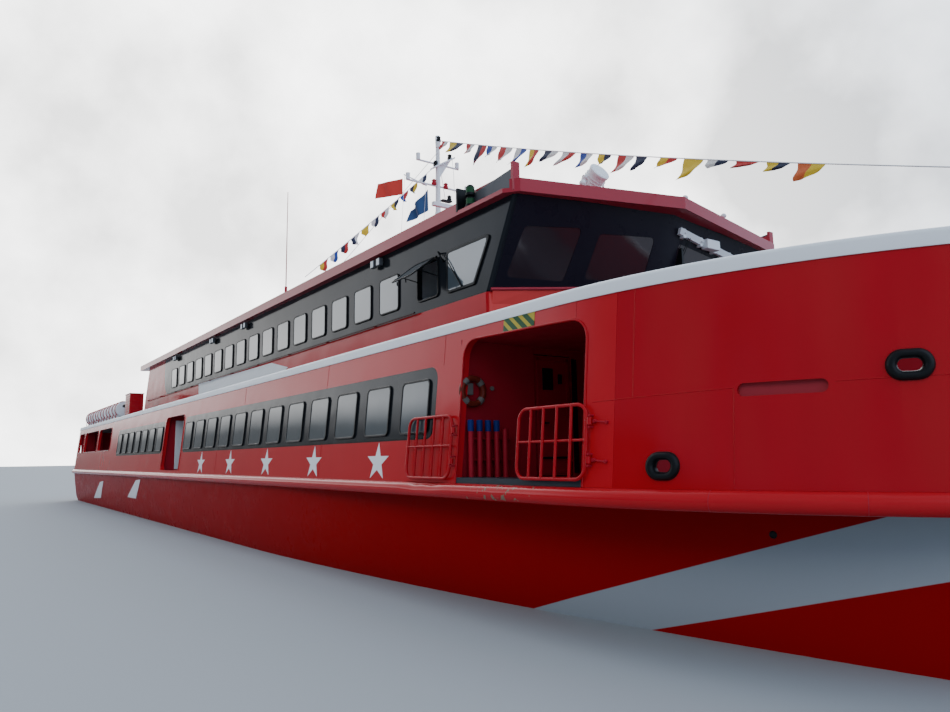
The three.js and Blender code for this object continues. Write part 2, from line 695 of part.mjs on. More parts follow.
function makeHouseAftWall() {
  const wall = roofHighWall((headZ) => {
    const share = (headZ - HOUSE_FOOT_Z) / (HOUSE_HEAD_Z - HOUSE_FOOT_Z);
    const topX = HOUSE_AFT_BASE_X + (HOUSE_AFT_TOP_X - HOUSE_AFT_BASE_X) * share;
    return [
      [HOUSE_AFT_BASE_X, HOUSE_FOOT_Z],
      [HOUSE_AFT_BASE_X + HOUSE_PLATE, HOUSE_FOOT_Z],
      [topX + HOUSE_PLATE, headZ],
      [topX, headZ],
    ];
  });
  const doorway = box([HOUSE_AFT_BASE_X - 100, -600, HOUSE_FOOT_Z + 100], [HOUSE_AFT_TOP_X, 600, 6600]);
  return cut(wall, doorway);
}

mesh('house_aft_wall', makeHouseAftWall(), RED);

// How far the front is pushed out at a place, from the sides to the centreline
function frontPush(y, z) {
  const share = Math.max(0, z - SILL_Z) / (ROOF_Z - SILL_Z);
  return (APEX + (APEX_TOP - APEX) * share) * (1 - Math.abs(y) / HOUSE_INSIDE_Y);
}

function frontX(y, z) {
  return rakeX(HOUSE_FRONT_X, Math.max(z, SILL_Z)) + frontPush(y, z);
}

const FRONT_STEPS = { across: 8, up: 4 };

// The height of the joint between the red wall and the black front over it
function sillZ(y) {
  return SILL_Z + SILL_RISE.edge + SILL_RISE.slope * (HOUSE_INSIDE_Y - Math.abs(y));
}

// A wall across the front, bent at the centreline and twisted a little between the sides and there:
// a grid of places on its face and the same grid further aft, near and far behind the outer surface
function bentWall(footAt, headAt, near, far) {
  const { across, up } = FRONT_STEPS;
  const positions = [];
  for (const depth of [near, far]) {
    for (let row = 0; row <= up; row += 1) {
      for (let column = 0; column <= across; column += 1) {
        const y = -HOUSE_INSIDE_Y + (2 * HOUSE_INSIDE_Y * column) / across;
        const z = footAt(y) + ((headAt(y) - footAt(y)) * row) / up;
        positions.push(frontX(y, z) - depth, y, z);
      }
    }
  }
  const width = across + 1;
  const back = width * (up + 1);
  const triangles = [];
  const quad = (a, b, c, d) => triangles.push(a, b, c, a, c, d);
  for (let row = 0; row < up; row += 1) {
    for (let column = 0; column < across; column += 1) {
      const a = row * width + column;
      quad(a, a + 1, a + 1 + width, a + width);
      triangles.push(a + back, a + 1 + width + back, a + 1 + back);
      triangles.push(a + back, a + width + back, a + 1 + width + back);
    }
  }
  for (let column = 0; column < across; column += 1) {
    const head = up * width + column;
    quad(column + 1, column, column + back, column + 1 + back);
    quad(head, head + 1, head + 1 + back, head + back);
  }
  for (let row = 0; row < up; row += 1) {
    const left = row * width;
    const right = left + across;
    quad(left, left + width, left + width + back, left + back);
    quad(right + width, right, right + back, right + width + back);
  }
  const geometry = new THREE.BufferGeometry();
  geometry.setAttribute('position', new THREE.Float32BufferAttribute(positions, 3));
  geometry.setIndex(volume(positions, triangles) < 0 ? reversed(triangles) : triangles);
  return geometry;
}

mesh('house_front_wall', bentWall(() => HOUSE_FOOT_Z, (y) => sillZ(y) - GAP, 0, HOUSE_PLATE), RED);

const FRONT_PANES = [
  { inner: 750, outer: 2200 },
  { inner: 2620, outer: 4000 },
];
const FRONT_PANE_Z = { low: 6030, high: 6950, slope: 0.062 }; // at the outermost corner, rising inward

// The height of the lower or upper edge of the front windows
function paneZ(y, edgeZ) {
  return edgeZ + (FRONT_PANES[1].outer - Math.abs(y)) * FRONT_PANE_Z.slope;
}

// The opening for one front window, pushed through the leaning wall
function frontPane(inner, outer, reach) {
  const { low, high } = FRONT_PANE_Z;
  const ring = (x) => [[outer, low], [inner, low], [inner, high], [outer, high]].map(([y, edgeZ]) => (
    [x, -y, paneZ(y, edgeZ)]));
  return loft([ring(HOUSE_FRONT_X - reach), ring(ROOF_CORNER_X + ROOF_APEX + reach)]);
}

function wheelhouseHead(y) {
  return roofUnder(y) - GAP;
}

function makeWheelhouseFront() {
  const panes = FRONT_PANES.flatMap(({ inner, outer }) => {
    const pane = frontPane(inner, outer, 300);
    return [pane, mirrorY(pane)];
  });
  return cut(bentWall(sillZ, wheelhouseHead, 0, HOUSE_PLATE), ...panes);
}

mesh('wheelhouse_front', makeWheelhouseFront(), BLACK);

function makeBridgeBulkhead() {
  const wall = roofHighWall((headZ) => [
    [BRIDGE_BULKHEAD_X, HOUSE_FOOT_Z],
    [BRIDGE_BULKHEAD_X + WALL, HOUSE_FOOT_Z],
    [BRIDGE_BULKHEAD_X + WALL, headZ],
    [BRIDGE_BULKHEAD_X, headZ],
  ]);
  return cut(wall, box([BRIDGE_BULKHEAD_X - 100, -450, HOUSE_FOOT_Z + 60], [BRIDGE_BULKHEAD_X + 200, 450, 6700]));
}

mesh('wheelhouse_bulkhead', makeBridgeBulkhead(), WHITE);

const consoleOutline = [
  [14700, HOUSE_FOOT_Z],
  [15700, HOUSE_FOOT_Z],
  [15850, 5650],
  [15500, 5700],
  [14600, 5350],
];
mesh('bridge_console', profileXZ(consoleOutline, -2600, 2600), BLACK, { roughness: 0.6 });

// The roof: cambered, with a deep edge, its front drawn to a point on the centreline
const SCREEN = { aft: 15250, fore: 16950, high: 8110, post: 8220, y: 4250, ledge: ROOF_Z + 90 }; // beside the lamps
const ROOF_CHAMFER = 250;
const WHIP = { x: 4200, y: 4150, top: 11600 };

function makeRoof() {
  const edgeTop = ROOF_Z + ROOF_EDGE;
  const ring = (x, push, half) => [
    [-half, roofUnder(half)],
    [-half, roofTop(half)],
    [0, roofTop(0)],
    [half, roofTop(half)],
    [half, roofUnder(half)],
    [0, roofUnder(0)],
  ].map(([y, z]) => [x + push * (1 - Math.abs(y) / half), y, z]);
  const slab = loft([
    ring(ROOF_AFT_X, 0, ROOF_Y),
    ring(ROOF_CORNER_X - ROOF_CHAMFER, ROOF_APEX * 0.8, ROOF_Y),
    ring(ROOF_CORNER_X, ROOF_APEX, ROOF_Y - ROOF_CHAMFER),
  ]);
  const extras = [];
  const recesses = [];
  for (const side of [-1, 1]) {
    const across = (near, far) => [Math.min(side * near, side * far), Math.max(side * near, side * far)];
    const [finLow, finHigh] = across(SCREEN.y, SCREEN.y - 40);
    const [boardLow, boardHigh] = across(SCREEN.y - 40, ROOF_Y);
    const [postLow, postHigh] = across(SCREEN.y - 40, SCREEN.y + 130);
    const [recessLow, recessHigh] = across(SCREEN.y, ROOF_Y + 100);
    recesses.push(box([SCREEN.aft, recessLow, SCREEN.ledge], [SCREEN.fore, recessHigh, SCREEN.post]));
    extras.push(box([SCREEN.aft, finLow, SCREEN.ledge - 40], [SCREEN.fore, finHigh, SCREEN.high]));
    extras.push(box([SCREEN.aft - 40, boardLow, SCREEN.ledge - 40], [SCREEN.aft, boardHigh, SCREEN.high + 60]));
    extras.push(box([SCREEN.fore, postLow, SCREEN.ledge - 40], [SCREEN.fore + 70, postHigh, SCREEN.post]));
  }
  extras.push(rod([WHIP.x, -WHIP.y, edgeTop - 60], [WHIP.x, -WHIP.y, edgeTop + 400], 50, 8));
  extras.push(rod([WHIP.x, -WHIP.y, edgeTop + 300], [WHIP.x, -WHIP.y, WHIP.top], 22, 6, 12));
  return join(cut(slab, ...recesses), ...extras);
}

mesh('roof', makeRoof(), RED);

// Glazing: one strip of panes behind each row of windows
function mainGlazing(row) {
  const aft = row.foremost - (row.count - 1) * MAIN_WINDOW.pitch - MAIN_WINDOW.width - 60;
  const section = [
    [SIDE_PLATE + GAP, MAIN_WINDOW.low - 60],
    [SIDE_PLATE + GAP, MAIN_WINDOW.high + 60],
    [SIDE_PLATE + 20, MAIN_WINDOW.high + 60],
    [SIDE_PLATE + 20, MAIN_WINDOW.low - 60],
  ];
  return loft(sideRun(aft, row.foremost + 60, section));
}

for (const [name, row] of [['fore', FORE_WINDOWS], ['aft', AFT_WINDOWS]]) {
  const strip = mainGlazing(row);
  mesh(`glazing_${name}_starboard`, strip, GLASS, { roughness: 0.1 });
  mesh(`glazing_${name}_port`, mirrorY(strip), GLASS, { roughness: 0.1 });
}

const HOUSE_GLASS = { near: -HOUSE_Y + HOUSE_PLATE + GAP, far: -HOUSE_Y + HOUSE_PLATE + 20 };
const GLASS_LAP = 60; // how far a pane runs past its opening

function makeUpperGlazing() {
  const aft = UPPER_WINDOWS.foremost - (UPPER_WINDOWS.count - 1) * UPPER_WINDOW.pitch - UPPER_WINDOW.width;
  return box(
    [aft - GLASS_LAP, HOUSE_GLASS.near, UPPER_WINDOW.low - GLASS_LAP],
    [UPPER_WINDOWS.foremost + GLASS_LAP, HOUSE_GLASS.far, UPPER_WINDOW.high + GLASS_LAP],
  );
}

const upperGlazing = makeUpperGlazing();
mesh('glazing_upper_starboard', upperGlazing, GLASS, { roughness: 0.1 });
mesh('glazing_upper_port', mirrorY(upperGlazing), GLASS, { roughness: 0.1 });

const quarterPane = profileXZ(
  QUARTER_WINDOW.map(([x, z]) => [
    x + (x === QUARTER_WINDOW[0][0] ? -GLASS_LAP : GLASS_LAP),
    z + (z === QUARTER_WINDOW[0][1] ? -GLASS_LAP : GLASS_LAP),
  ]),
  HOUSE_GLASS.near,
  HOUSE_GLASS.far,
);
mesh('glazing_quarter_starboard', quarterPane, GLASS, { roughness: 0.1 });
mesh('glazing_quarter_port', mirrorY(quarterPane), GLASS, { roughness: 0.1 });

// One sheet of glass behind both facets of the front, as high and wide as the windows and their laps
function makeWheelhouseGlazing() {
  const sheet = bentWall(sillZ, wheelhouseHead, HOUSE_PLATE + 1.5, HOUSE_PLATE + 24);
  const endY = FRONT_PANES[1].outer + GLASS_LAP;
  const ring = (y) => [
    [HOUSE_FRONT_X - 1000, y, paneZ(y, FRONT_PANE_Z.low) - GLASS_LAP],
    [ROOF_CORNER_X + 2000, y, paneZ(y, FRONT_PANE_Z.low) - GLASS_LAP],
    [ROOF_CORNER_X + 2000, y, paneZ(y, FRONT_PANE_Z.high) + GLASS_LAP],
    [HOUSE_FRONT_X - 1000, y, paneZ(y, FRONT_PANE_Z.high) + GLASS_LAP],
  ];
  return overlap(sheet, loft([ring(-endY), ring(0), ring(endY)]));
}

mesh('glazing_wheelhouse', makeWheelhouseGlazing(), GLASS, { roughness: 0.1 });

// Mast with two crosstrees, a bracket for the radar and the lamp boxes
const MAST = { x: 7350, top: 13250, radius: 110 };
const RADAR = { x: 8450, z: 10450, length: 1800 };

function makeMast() {
  const parts = [
    rod([MAST.x, 0, roofTop(0) + 10], [MAST.x, 0, MAST.top], MAST.radius, 12, 70),
    box([MAST.x - 350, -350, roofTop(0) + GAP], [MAST.x + 350, 350, roofTop(0) + 60]),
    box([MAST.x, -220, RADAR.z - 160], [RADAR.x + 250, 220, RADAR.z - 100]),
    rod([MAST.x, 0, RADAR.z - 750], [RADAR.x, 0, RADAR.z - 155], 35, 8),
    rod([MAST.x - 1500, 0, roofTop(0) + 45], [MAST.x, 0, 10900], 55, 8),
    box([MAST.x - 1620, -120, roofTop(0) + GAP], [MAST.x - 1380, 120, roofTop(0) + 50]),
  ];
  for (const [z, half] of [[11660, 1250], [12450, 850]]) {
    parts.push(rod([MAST.x, -half, z], [MAST.x, half, z], 35, 8));
    for (const y of [-half + 60, half - 60]) {
      parts.push(rod([MAST.x, y, z], [MAST.x, y, z + 230], 75, 8));
    }
  }
  parts.push(rod([MAST.x, 0, MAST.top - 20], [MAST.x, 0, MAST.top + 220], 90, 8));
  return join(parts[0], ...parts.slice(1));
}

mesh('mast', makeMast(), WHITE, { roughness: 0.4 });

function makeRadar() {
  const turret = rod([RADAR.x, 0, RADAR.z - 100 + GAP], [RADAR.x, 0, RADAR.z + 60], 130, 12);
  const arm = box([RADAR.x - 70, -RADAR.length / 2, RADAR.z + 40], [RADAR.x + 70, RADAR.length / 2, RADAR.z + 170]);
  return join(turret, arm);
}

mesh('radar_scanner', makeRadar(), WHITE);

const SEARCHLIGHT = { x: 16450, y: -1600, foot: 180 };

function makeSearchlight() {
  const { x, y, foot } = SEARCHLIGHT;
  const z = roofTop(Math.abs(y) - foot) + GAP;
  return join(
    box([x - foot, y - foot, z], [x + foot, y + foot, z + 45]),
    rod([x, y, z + 20], [x, y, z + 450], 60, 8),
    rod([x - 230, y, z + 640], [x + 230, y, z + 680], 230, 14, 280),
  );
}

mesh('searchlight', makeSearchlight(), WHITE);

// Upper deck aft: vent casings and liferaft racks along the sides
const CASING = { aft: -14200, fore: -13000, inner: 5150, outer: 5800, high: 5900 };
const casing = box(
  [CASING.aft, -CASING.outer, UPPER_DECK_Z],
  [CASING.fore, -CASING.inner, CASING.high],
);
mesh('vent_casing_starboard', casing, RED);
mesh('vent_casing_port', mirrorY(casing), RED);

const RAFTS = { count: 6, foremost: -16300, pitch: 1900, y: 5580, radius: 430, length: 1500, foot: 300 };

function makeRafts() {
  const parts = [];
  const last = RAFTS.foremost - (RAFTS.count - 1) * RAFTS.pitch;
  const railLow = UPPER_DECK_Z + RAFTS.foot - 70;
  for (const y of [-RAFTS.y - 260, -RAFTS.y + 260]) {
    parts.push(box([last - RAFTS.length / 2, y - 30, railLow], [RAFTS.foremost + RAFTS.length / 2, y + 30, railLow + 90]));
  }
  for (let index = 0; index < RAFTS.count; index += 1) {
    const x = RAFTS.foremost - index * RAFTS.pitch;
    const z = UPPER_DECK_Z + RAFTS.foot + RAFTS.radius;
    parts.push(rod([x - RAFTS.length / 2, -RAFTS.y, z], [x + RAFTS.length / 2, -RAFTS.y, z], RAFTS.radius, 10));
    for (const end of [-0.3, 0.3]) {
      const px = x + end * RAFTS.length;
      parts.push(box([px - 30, -RAFTS.y - 290, UPPER_DECK_Z], [px + 30, -RAFTS.y + 290, z - 200]));
    }
  }
  return join(parts[0], ...parts.slice(1));
}

const rafts = makeRafts();
mesh('liferafts_starboard', rafts, WHITE);
mesh('liferafts_port', mirrorY(rafts), WHITE);

function makeWindlass() {
  const x = 22300;
  return join(
    box([x - 500, -700, INNER_FOOT_Z], [x + 500, 700, DECK_Z + 160]),
    rod([x, -950, DECK_Z + 480], [x, 950, DECK_Z + 480], 190, 12),
    box([x - 330, -330, DECK_Z + 100], [x + 330, 330, DECK_Z + 760]),
    box([x - 220, -620, DECK_Z + 100], [x + 220, -520, DECK_Z + 620]),
    box([x - 220, 520, DECK_Z + 100], [x + 220, 620, DECK_Z + 620]),
  );
}

mesh('windlass', makeWindlass(), GREY, { roughness: 0.6 });

// Propellers on their shafts, the brackets that hold them, and the rudders
const shaftStart = new THREE.Vector3(...shaftPoint(0));
const shaftAxis = new THREE.Vector3(...shaftPoint(1)).sub(shaftStart).normalize();

// One blade seen flat: [chord, reach] in shares of the propeller's radius
const BLADE_OUTLINE = [[-0.16, 0.12], [0.16, 0.12], [0.3, 0.5], [0.27, 0.8], [0.08, 0.99], [-0.12, 0.97],
  [-0.29, 0.75], [-0.29, 0.45]];
const BLADE_PITCH = THREE.MathUtils.degToRad(52);
const BLADE_THICK = 26;

function makePropeller(hand) {
  const hub = rod(shaftPoint(-0.055), shaftPoint(0.035), PROPELLER_RADIUS * 0.2, 14, PROPELLER_RADIUS * 0.26);
  const shaft = rod(shaftPoint(0), shaftPoint(0.88), SHAFT.radius, SHAFT_SIDES);
  const blades = [];
  const turn = new THREE.Quaternion().setFromUnitVectors(new THREE.Vector3(1, 0, 0), shaftAxis);
  for (let blade = 0; blade < 5; blade += 1) {
    const outline = BLADE_OUTLINE.map(([chord, reach]) => [chord * PROPELLER_RADIUS, reach * PROPELLER_RADIUS]);
    const geometry = profileXZ(outline, -BLADE_THICK / 2, BLADE_THICK / 2);
    geometry.rotateZ(hand * BLADE_PITCH).rotateX((blade / 5) * Math.PI * 2);
    geometry.applyQuaternion(turn);
    blades.push(geometry.translate(...shaftStart.toArray()));
  }
  return join(hub, shaft, ...blades);
}

mesh('propeller_starboard', makePropeller(1), BRONZE, { metalness: 1, roughness: 0.35 });
mesh('propeller_port', mirrorY(makePropeller(1)), BRONZE, { metalness: 1, roughness: 0.35 });

function makeShaftBracket() {
  const at = 0.1;
  const [x, y, z] = shaftPoint(at);
  const barrel = rod(shaftPoint(at - 0.035), shaftPoint(at + 0.035), SHAFT.radius * 1.8, 14);
  const top = z + 1800;
  const strut = (dy) => loft([
    [[x - 160, y, z + 20], [x, y + 22, z + 20], [x + 160, y, z + 20], [x, y - 22, z + 20]],
    [[x - 160, y + dy, top], [x, y + dy + 22, top], [x + 160, y + dy, top], [x, y + dy - 22, top]],
  ]);
  const bore = rod(shaftPoint(at - 0.1), shaftPoint(at + 0.1), (SHAFT.radius + GAP) * BORE_OVERSIZE, SHAFT_SIDES);
  const raw = toSolid(join(barrel, strut(-600), strut(600)));
  const clear = toSolid(hull.clone().translate(0, 0, -GAP));
  return toGeometry(raw.subtract(toSolid(bore)).subtract(clear).subtract(toSolid(box(
    [x - 400, y - 900, z + 900], [x + 400, y + 900, z + 2000]))));
}

const bracket = makeShaftBracket();
mesh('shaft_bracket_starboard', bracket, GREY);
mesh('shaft_bracket_port', mirrorY(bracket), GREY);

function makeRudder() {
  const { x, stock, chordFore, chordAft, low } = RUDDER;
  const top = -620;
  const section = [[x + chordFore, 0], [x + chordFore * 0.5, 55], [x - chordAft * 0.3, 50], [x - chordAft, 6],
    [x - chordAft, -6], [x - chordAft * 0.3, -50], [x + chordFore * 0.5, -55]];
  const blade = profileXY(section.map(([px, py]) => [px, py - SHAFT.y]), low, top);
  return join(blade, rod([x, -SHAFT.y, top - 100], [x, -SHAFT.y, 110], stock, SHAFT_SIDES));
}

const rudder = makeRudder();
mesh('rudder_starboard', rudder, DARK_RED);
mesh('rudder_port', mirrorY(rudder), DARK_RED);

// A closed tube that follows a loop of points on the outside of the side
function tubeLoop(loop, radius, sides) {
  const middleX = loop.reduce((sum, [x]) => sum + x, 0) / loop.length;
  const middleZ = loop.reduce((sum, [, z]) => sum + z, 0) / loop.length;
  const rings = loop.map(([x, z], index) => {
    const [beforeX, beforeZ] = loop.at(index - 1);
    const [afterX, afterZ] = loop[(index + 1) % loop.length];
    const normal = new THREE.Vector2(afterZ - beforeZ, beforeX - afterX).normalize();
    if (normal.dot(new THREE.Vector2(x - middleX, z - middleZ)) < 0) normal.negate();
    return Array.from({ length: sides }, (_, side) => {
      const turn = (side / sides) * Math.PI * 2;
      const reach = radius * Math.cos(turn);
      const [px, py, pz] = outside(x + normal.x * reach, z + normal.y * reach);
      return [px, py + radius * Math.sin(turn), pz];
    });
  });
  return ringLoop(rings);
}

function makeGate(hinge, free) {
  const toward = Math.sign(free - hinge);
  const near = hinge + toward * 60;
  const [x0, x1] = [Math.min(near, free), Math.max(near, free)];
  const frame = roundedRect(x0, x1, GATE.low, GATE.high, GATE.round, 3);
  const parts = [tubeLoop(frame, GATE.tube, 6)];
  for (let bar = 1; bar <= 4; bar += 1) {
    const x = x0 + ((x1 - x0) * bar) / 5;
    parts.push(rod(outside(x, GATE.low), outside(x, GATE.high), GATE.tube * 0.8, 4));
  }
  const midZ = (GATE.low + GATE.high) / 2;
  parts.push(rod(outside(x0, midZ), outside(x1, midZ), GATE.tube * 0.8, 4));
  for (const z of GATE_HINGE_Z) {
    const half = GATE.knuckle / 2;
    parts.push(rod(outside(near, z), outside(hinge, z), 14, 4));
    parts.push(rod(outside(hinge, z - half), outside(hinge, z + half), 24, 6));
  }
  return join(parts[0], ...parts.slice(1));
}

const foreGate = makeGate(GATES.foreHinge, GATES.foreFree);
const aftGate = makeGate(GATES.aftHinge, GATES.aftFree);
mesh('gate_fore_starboard', foreGate, RED);
mesh('gate_fore_port', mirrorY(foreGate), RED);
mesh('gate_aft_starboard', aftGate, RED);
mesh('gate_aft_port', mirrorY(aftGate), RED);

// Doors: vestibule to saloon, one each side, and a pair of leaves to the after deck
function makeSaloonDoor() {
  const { low, high, hingeY, freeY, leaf } = SALOON_DOOR;
  const face = VESTIBULE_AFT_X - WALL / 2;
  const panel = box([face - leaf / 2, -freeY, low], [face + leaf / 2, -hingeY, high]);
  const light = profileXZ(roundedRect(0, 250, 3640, 4030, 60), -200, 200);
  light.rotateZ(Math.PI / 2).translate(face, -freeY + 180, 0);
  return join(cut(panel, light, ...saloonHinges.notches), ...saloonHinges.knuckles);
}

const saloonDoor = makeSaloonDoor();
mesh('saloon_door_starboard', saloonDoor, DARK_RED);
mesh('saloon_door_port', mirrorY(saloonDoor), DARK_RED);

function makeAftDoor() {
  const { low, high, width, leaf, gap } = AFT_DOOR;
  const face = SALOON_AFT_X + WALL / 2;
  const panel = box([face - leaf / 2, -width, low], [face + leaf / 2, -gap / 2, high]);
  const light = profileXZ(roundedRect(0, 500, 3000, 3800, 60), -200, 200);
  light.rotateZ(Math.PI / 2).translate(face, -width + 200, 0);
  return join(cut(panel, light, ...aftHinges.notches), ...aftHinges.knuckles);
}

const aftDoor = makeAftDoor();
mesh('aft_door_starboard', aftDoor, WHITE);
mesh('aft_door_port', mirrorY(aftDoor), WHITE);

export default ferry;
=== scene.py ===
import json
import math
import random

import bpy
from mathutils import Matrix, Vector

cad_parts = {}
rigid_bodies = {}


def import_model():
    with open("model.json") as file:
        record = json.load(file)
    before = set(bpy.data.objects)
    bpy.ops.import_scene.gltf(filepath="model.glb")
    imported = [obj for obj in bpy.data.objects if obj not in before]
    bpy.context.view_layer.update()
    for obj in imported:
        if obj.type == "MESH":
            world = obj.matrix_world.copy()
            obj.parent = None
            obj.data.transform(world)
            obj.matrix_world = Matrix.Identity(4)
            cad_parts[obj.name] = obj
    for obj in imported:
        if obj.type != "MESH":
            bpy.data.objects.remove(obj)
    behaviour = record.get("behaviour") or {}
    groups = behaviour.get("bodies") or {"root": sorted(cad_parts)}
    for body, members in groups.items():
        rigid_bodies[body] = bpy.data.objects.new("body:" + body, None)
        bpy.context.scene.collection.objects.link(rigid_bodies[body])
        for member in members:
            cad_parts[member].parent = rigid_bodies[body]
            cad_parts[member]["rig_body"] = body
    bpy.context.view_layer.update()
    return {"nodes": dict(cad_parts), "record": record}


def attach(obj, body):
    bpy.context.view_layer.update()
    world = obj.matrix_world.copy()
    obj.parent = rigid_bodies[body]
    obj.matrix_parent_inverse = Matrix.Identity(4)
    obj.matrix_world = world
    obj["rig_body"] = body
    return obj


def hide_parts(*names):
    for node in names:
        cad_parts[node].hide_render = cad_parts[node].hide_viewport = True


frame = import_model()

# The model is half size.
SCALE = 0.5

# Driving dimensions: origin on the waterline amidships, bow to +X, port to +Y
STERN = -27.4
BOW_START = 20.0
BOW_LENGTH = 7.5
# Sides: they lean in from the deck up to the white band under the sheer. JOINT is where the two plates of
# a side meet, and BULWARK where the bow's plating begins.
HALF_BEAM = 6.4
DECK = 2.0
LEAN = math.tan(math.radians(5.3))
SHEER = 4.53
SHEER_TOP = 4.73
PLATE = 0.12
JOINT = 0.06
BULWARK = 21.3
# Deckhouse and roof. The wheelhouse front leans forward by RAKE from its sill to the roof, and its middle
# stands forward of its corners by APEX at the sill and APEX_TOP at the roof. FRONT_HALF is half its width,
# and INNER_HALF half that of the room behind it.
HOUSE_Y = 4.3
HOUSE_FRONT = 16.0
SILL = 5.74
ROOF = 7.58
ROOF_Y = 4.52
ROOF_EDGE = 0.27
CAMBER = 0.28
RAKE = 0.95
APEX = 0.65
APEX_TOP = 0.3
ROOF_AFT = -17.5
ROOF_CORNER = 17.1
ROOF_CORNER_Y = 4.27
ROOF_APEX = 0.58
FRONT_HALF = 4.197
INNER_HALF = 4.22
# The hulls' stems, and how far a thin skin stands proud of the solid under it
STEM_Y = 4.08
PROUD = 0.003

FORE_DOOR = {"aft": 17.9, "fore": 20.82, "high": 4.27, "round": 0.3}
MID_DOOR = {"aft": -2.9, "fore": -0.1, "low": 2.09, "high": 4.12, "round": 0.25}
MAIN_WINDOW = {"width": 0.93, "low": 2.86, "high": 3.77, "pitch": 1.43}
FORE_ROW = [16.9 - MAIN_WINDOW["pitch"] * k for k in range(12)]
AFT_ROW = [-3.28 - MAIN_WINDOW["pitch"] * k for k in range(7)]
BAYS = [(-19.1, -15.1), (-24.4, -19.5), (-26.9, -24.8)]
BAY = {"low": 3.05, "high": 4.25, "round": 0.25}
UPPER_DECK_UNDER = 4.378
UPPER_DECK_TOP = 4.528
UPPER_WINDOW = {"width": 0.96, "low": 6.06, "high": 6.93, "pitch": 1.47}
UPPER_ROW = [12.3 - UPPER_WINDOW["pitch"] * k for k in range(16)]


# Helpers that select, shape and finish
def pick(obj):
    """Selects one piece and nothing else."""
    bpy.ops.object.select_all(action="DESELECT")
    obj.select_set(True)
    bpy.context.view_layer.objects.active = obj
    return obj


def in_edit(obj, *operators):
    """Runs mesh operators on the whole of a piece."""
    pick(obj)
    bpy.ops.object.mode_set(mode="EDIT")
    bpy.ops.mesh.select_all(action="SELECT")
    for operator in operators:
        operator()
    bpy.ops.object.mode_set(mode="OBJECT")
    return obj


def outward():
    """Turns the selected faces outwards."""
    bpy.ops.mesh.normals_make_consistent(inside=False)


def modify(obj, kind, **settings):
    """Adds a modifier with its settings and applies it."""
    pick(obj)
    modifier = obj.modifiers.new(kind.title(), kind)
    for name, value in settings.items():
        setattr(modifier, name, value)
    bpy.ops.object.modifier_apply(modifier=modifier.name)
    return obj


def soften(obj, width, segments=2):
    """Bevels every edge sharper than 40 degrees."""
    return modify(obj, "BEVEL", width=width, segments=segments, limit_method="ANGLE",
                  angle_limit=math.radians(40))


def eased(obj, chosen, width):
    """Rounds the edges whose two ends are both chosen by their place."""
    for edge in obj.data.edges:
        edge.select = False
    in_edit(obj, lambda: bpy.ops.mesh.select_mode(type="EDGE"),
            lambda: bpy.ops.mesh.select_all(action="DESELECT"))
    for edge in obj.data.edges:
        edge.select = all(chosen(obj.data.vertices[k].co) for k in edge.vertices)
    pick(obj)
    bpy.ops.object.mode_set(mode="EDIT")
    bpy.ops.mesh.bevel(offset=width, segments=4, affect="EDGES")
    bpy.ops.mesh.select_mode(type="VERT")
    bpy.ops.object.mode_set(mode="OBJECT")
    return obj


def block(low, high, bevel=0.0):
    """A box between two corners, its edges rounded."""
    bpy.ops.mesh.primitive_cube_add(size=1)
    obj = bpy.context.object
    for vertex in obj.data.vertices:
        vertex.co = [low[k] + (vertex.co[k] + 0.5) * (high[k] - low[k]) for k in range(3)]
    return soften(obj, bevel) if bevel else obj


def rod(start, end, radius, sides=16, tip=None, bevel=0.0):
    """A round bar, or a cone when its tip has another radius."""
    start, end = Vector(start), Vector(end)
    run = end - start
    bpy.ops.mesh.primitive_cone_add(
        vertices=sides, radius1=radius, radius2=radius if tip is None else tip, depth=run.length)
    obj = bpy.context.object
    if bevel:
        soften(obj, bevel)
    turn = run.to_track_quat("Z", "Y").to_matrix().to_4x4()
    obj.data.transform(Matrix.Translation((start + end) / 2) @ turn)
    return obj


def ball(centre, radius, stretch):
    """A sphere, drawn out or flattened along the axes."""
    bpy.ops.mesh.primitive_uv_sphere_add(segments=16, ring_count=10, radius=radius)
    obj = bpy.context.object
    for vertex in obj.data.vertices:
        vertex.co = [centre[k] + vertex.co[k] * stretch[k] for k in range(3)]
    return obj


def ring(centre, major, minor, around, across, axis=(0, 0, 1)):
    """A hoop of round bar about an axis."""
    bpy.ops.mesh.primitive_torus_add(
        major_radius=major, minor_radius=minor, major_segments=around, minor_segments=across)
    obj = bpy.context.object
    turn = Vector(axis).to_track_quat("Z", "Y").to_matrix().to_4x4()
    obj.data.transform(Matrix.Translation(centre) @ turn)
    return obj


def prism(outline, low, high, axis="y", bevel=0.0):
    """An outline pushed along an axis; its points are the other two coordinates in order."""
    place = {
        "x": lambda a, b, c: (c, a, b),
        "y": lambda a, b, c: (a, c, b),
        "z": lambda a, b, c: (a, b, c),
    }[axis]
    bpy.ops.mesh.primitive_circle_add(vertices=len(outline), fill_type="NGON")
    obj = bpy.context.object
    for vertex, (a, b) in zip(obj.data.vertices, outline):
        vertex.co = place(a, b, low)
    in_edit(
        obj,
        lambda: bpy.ops.mesh.extrude_region_move(
            TRANSFORM_OT_translate={"value": place(0, 0, high - low)}),
        lambda: bpy.ops.mesh.select_all(action="SELECT"),
        outward,
    )
    return soften(obj, bevel) if bevel else obj


# Straight pieces in the arc of one corner
ARC_STEPS = 6


def rounded(x0, x1, z0, z1, radius):
    """The outline of a rectangle with round corners."""
    points = []
    for cx, cz, start in (
        (x1 - radius, z1 - radius, 0), (x0 + radius, z1 - radius, 90),
        (x0 + radius, z0 + radius, 180), (x1 - radius, z0 + radius, 270),
    ):
        for step in range(ARC_STEPS + 1):
            angle = math.radians(start + 90 * step / ARC_STEPS)
            points.append((cx + radius * math.cos(angle), cz + radius * math.sin(angle)))
    return points


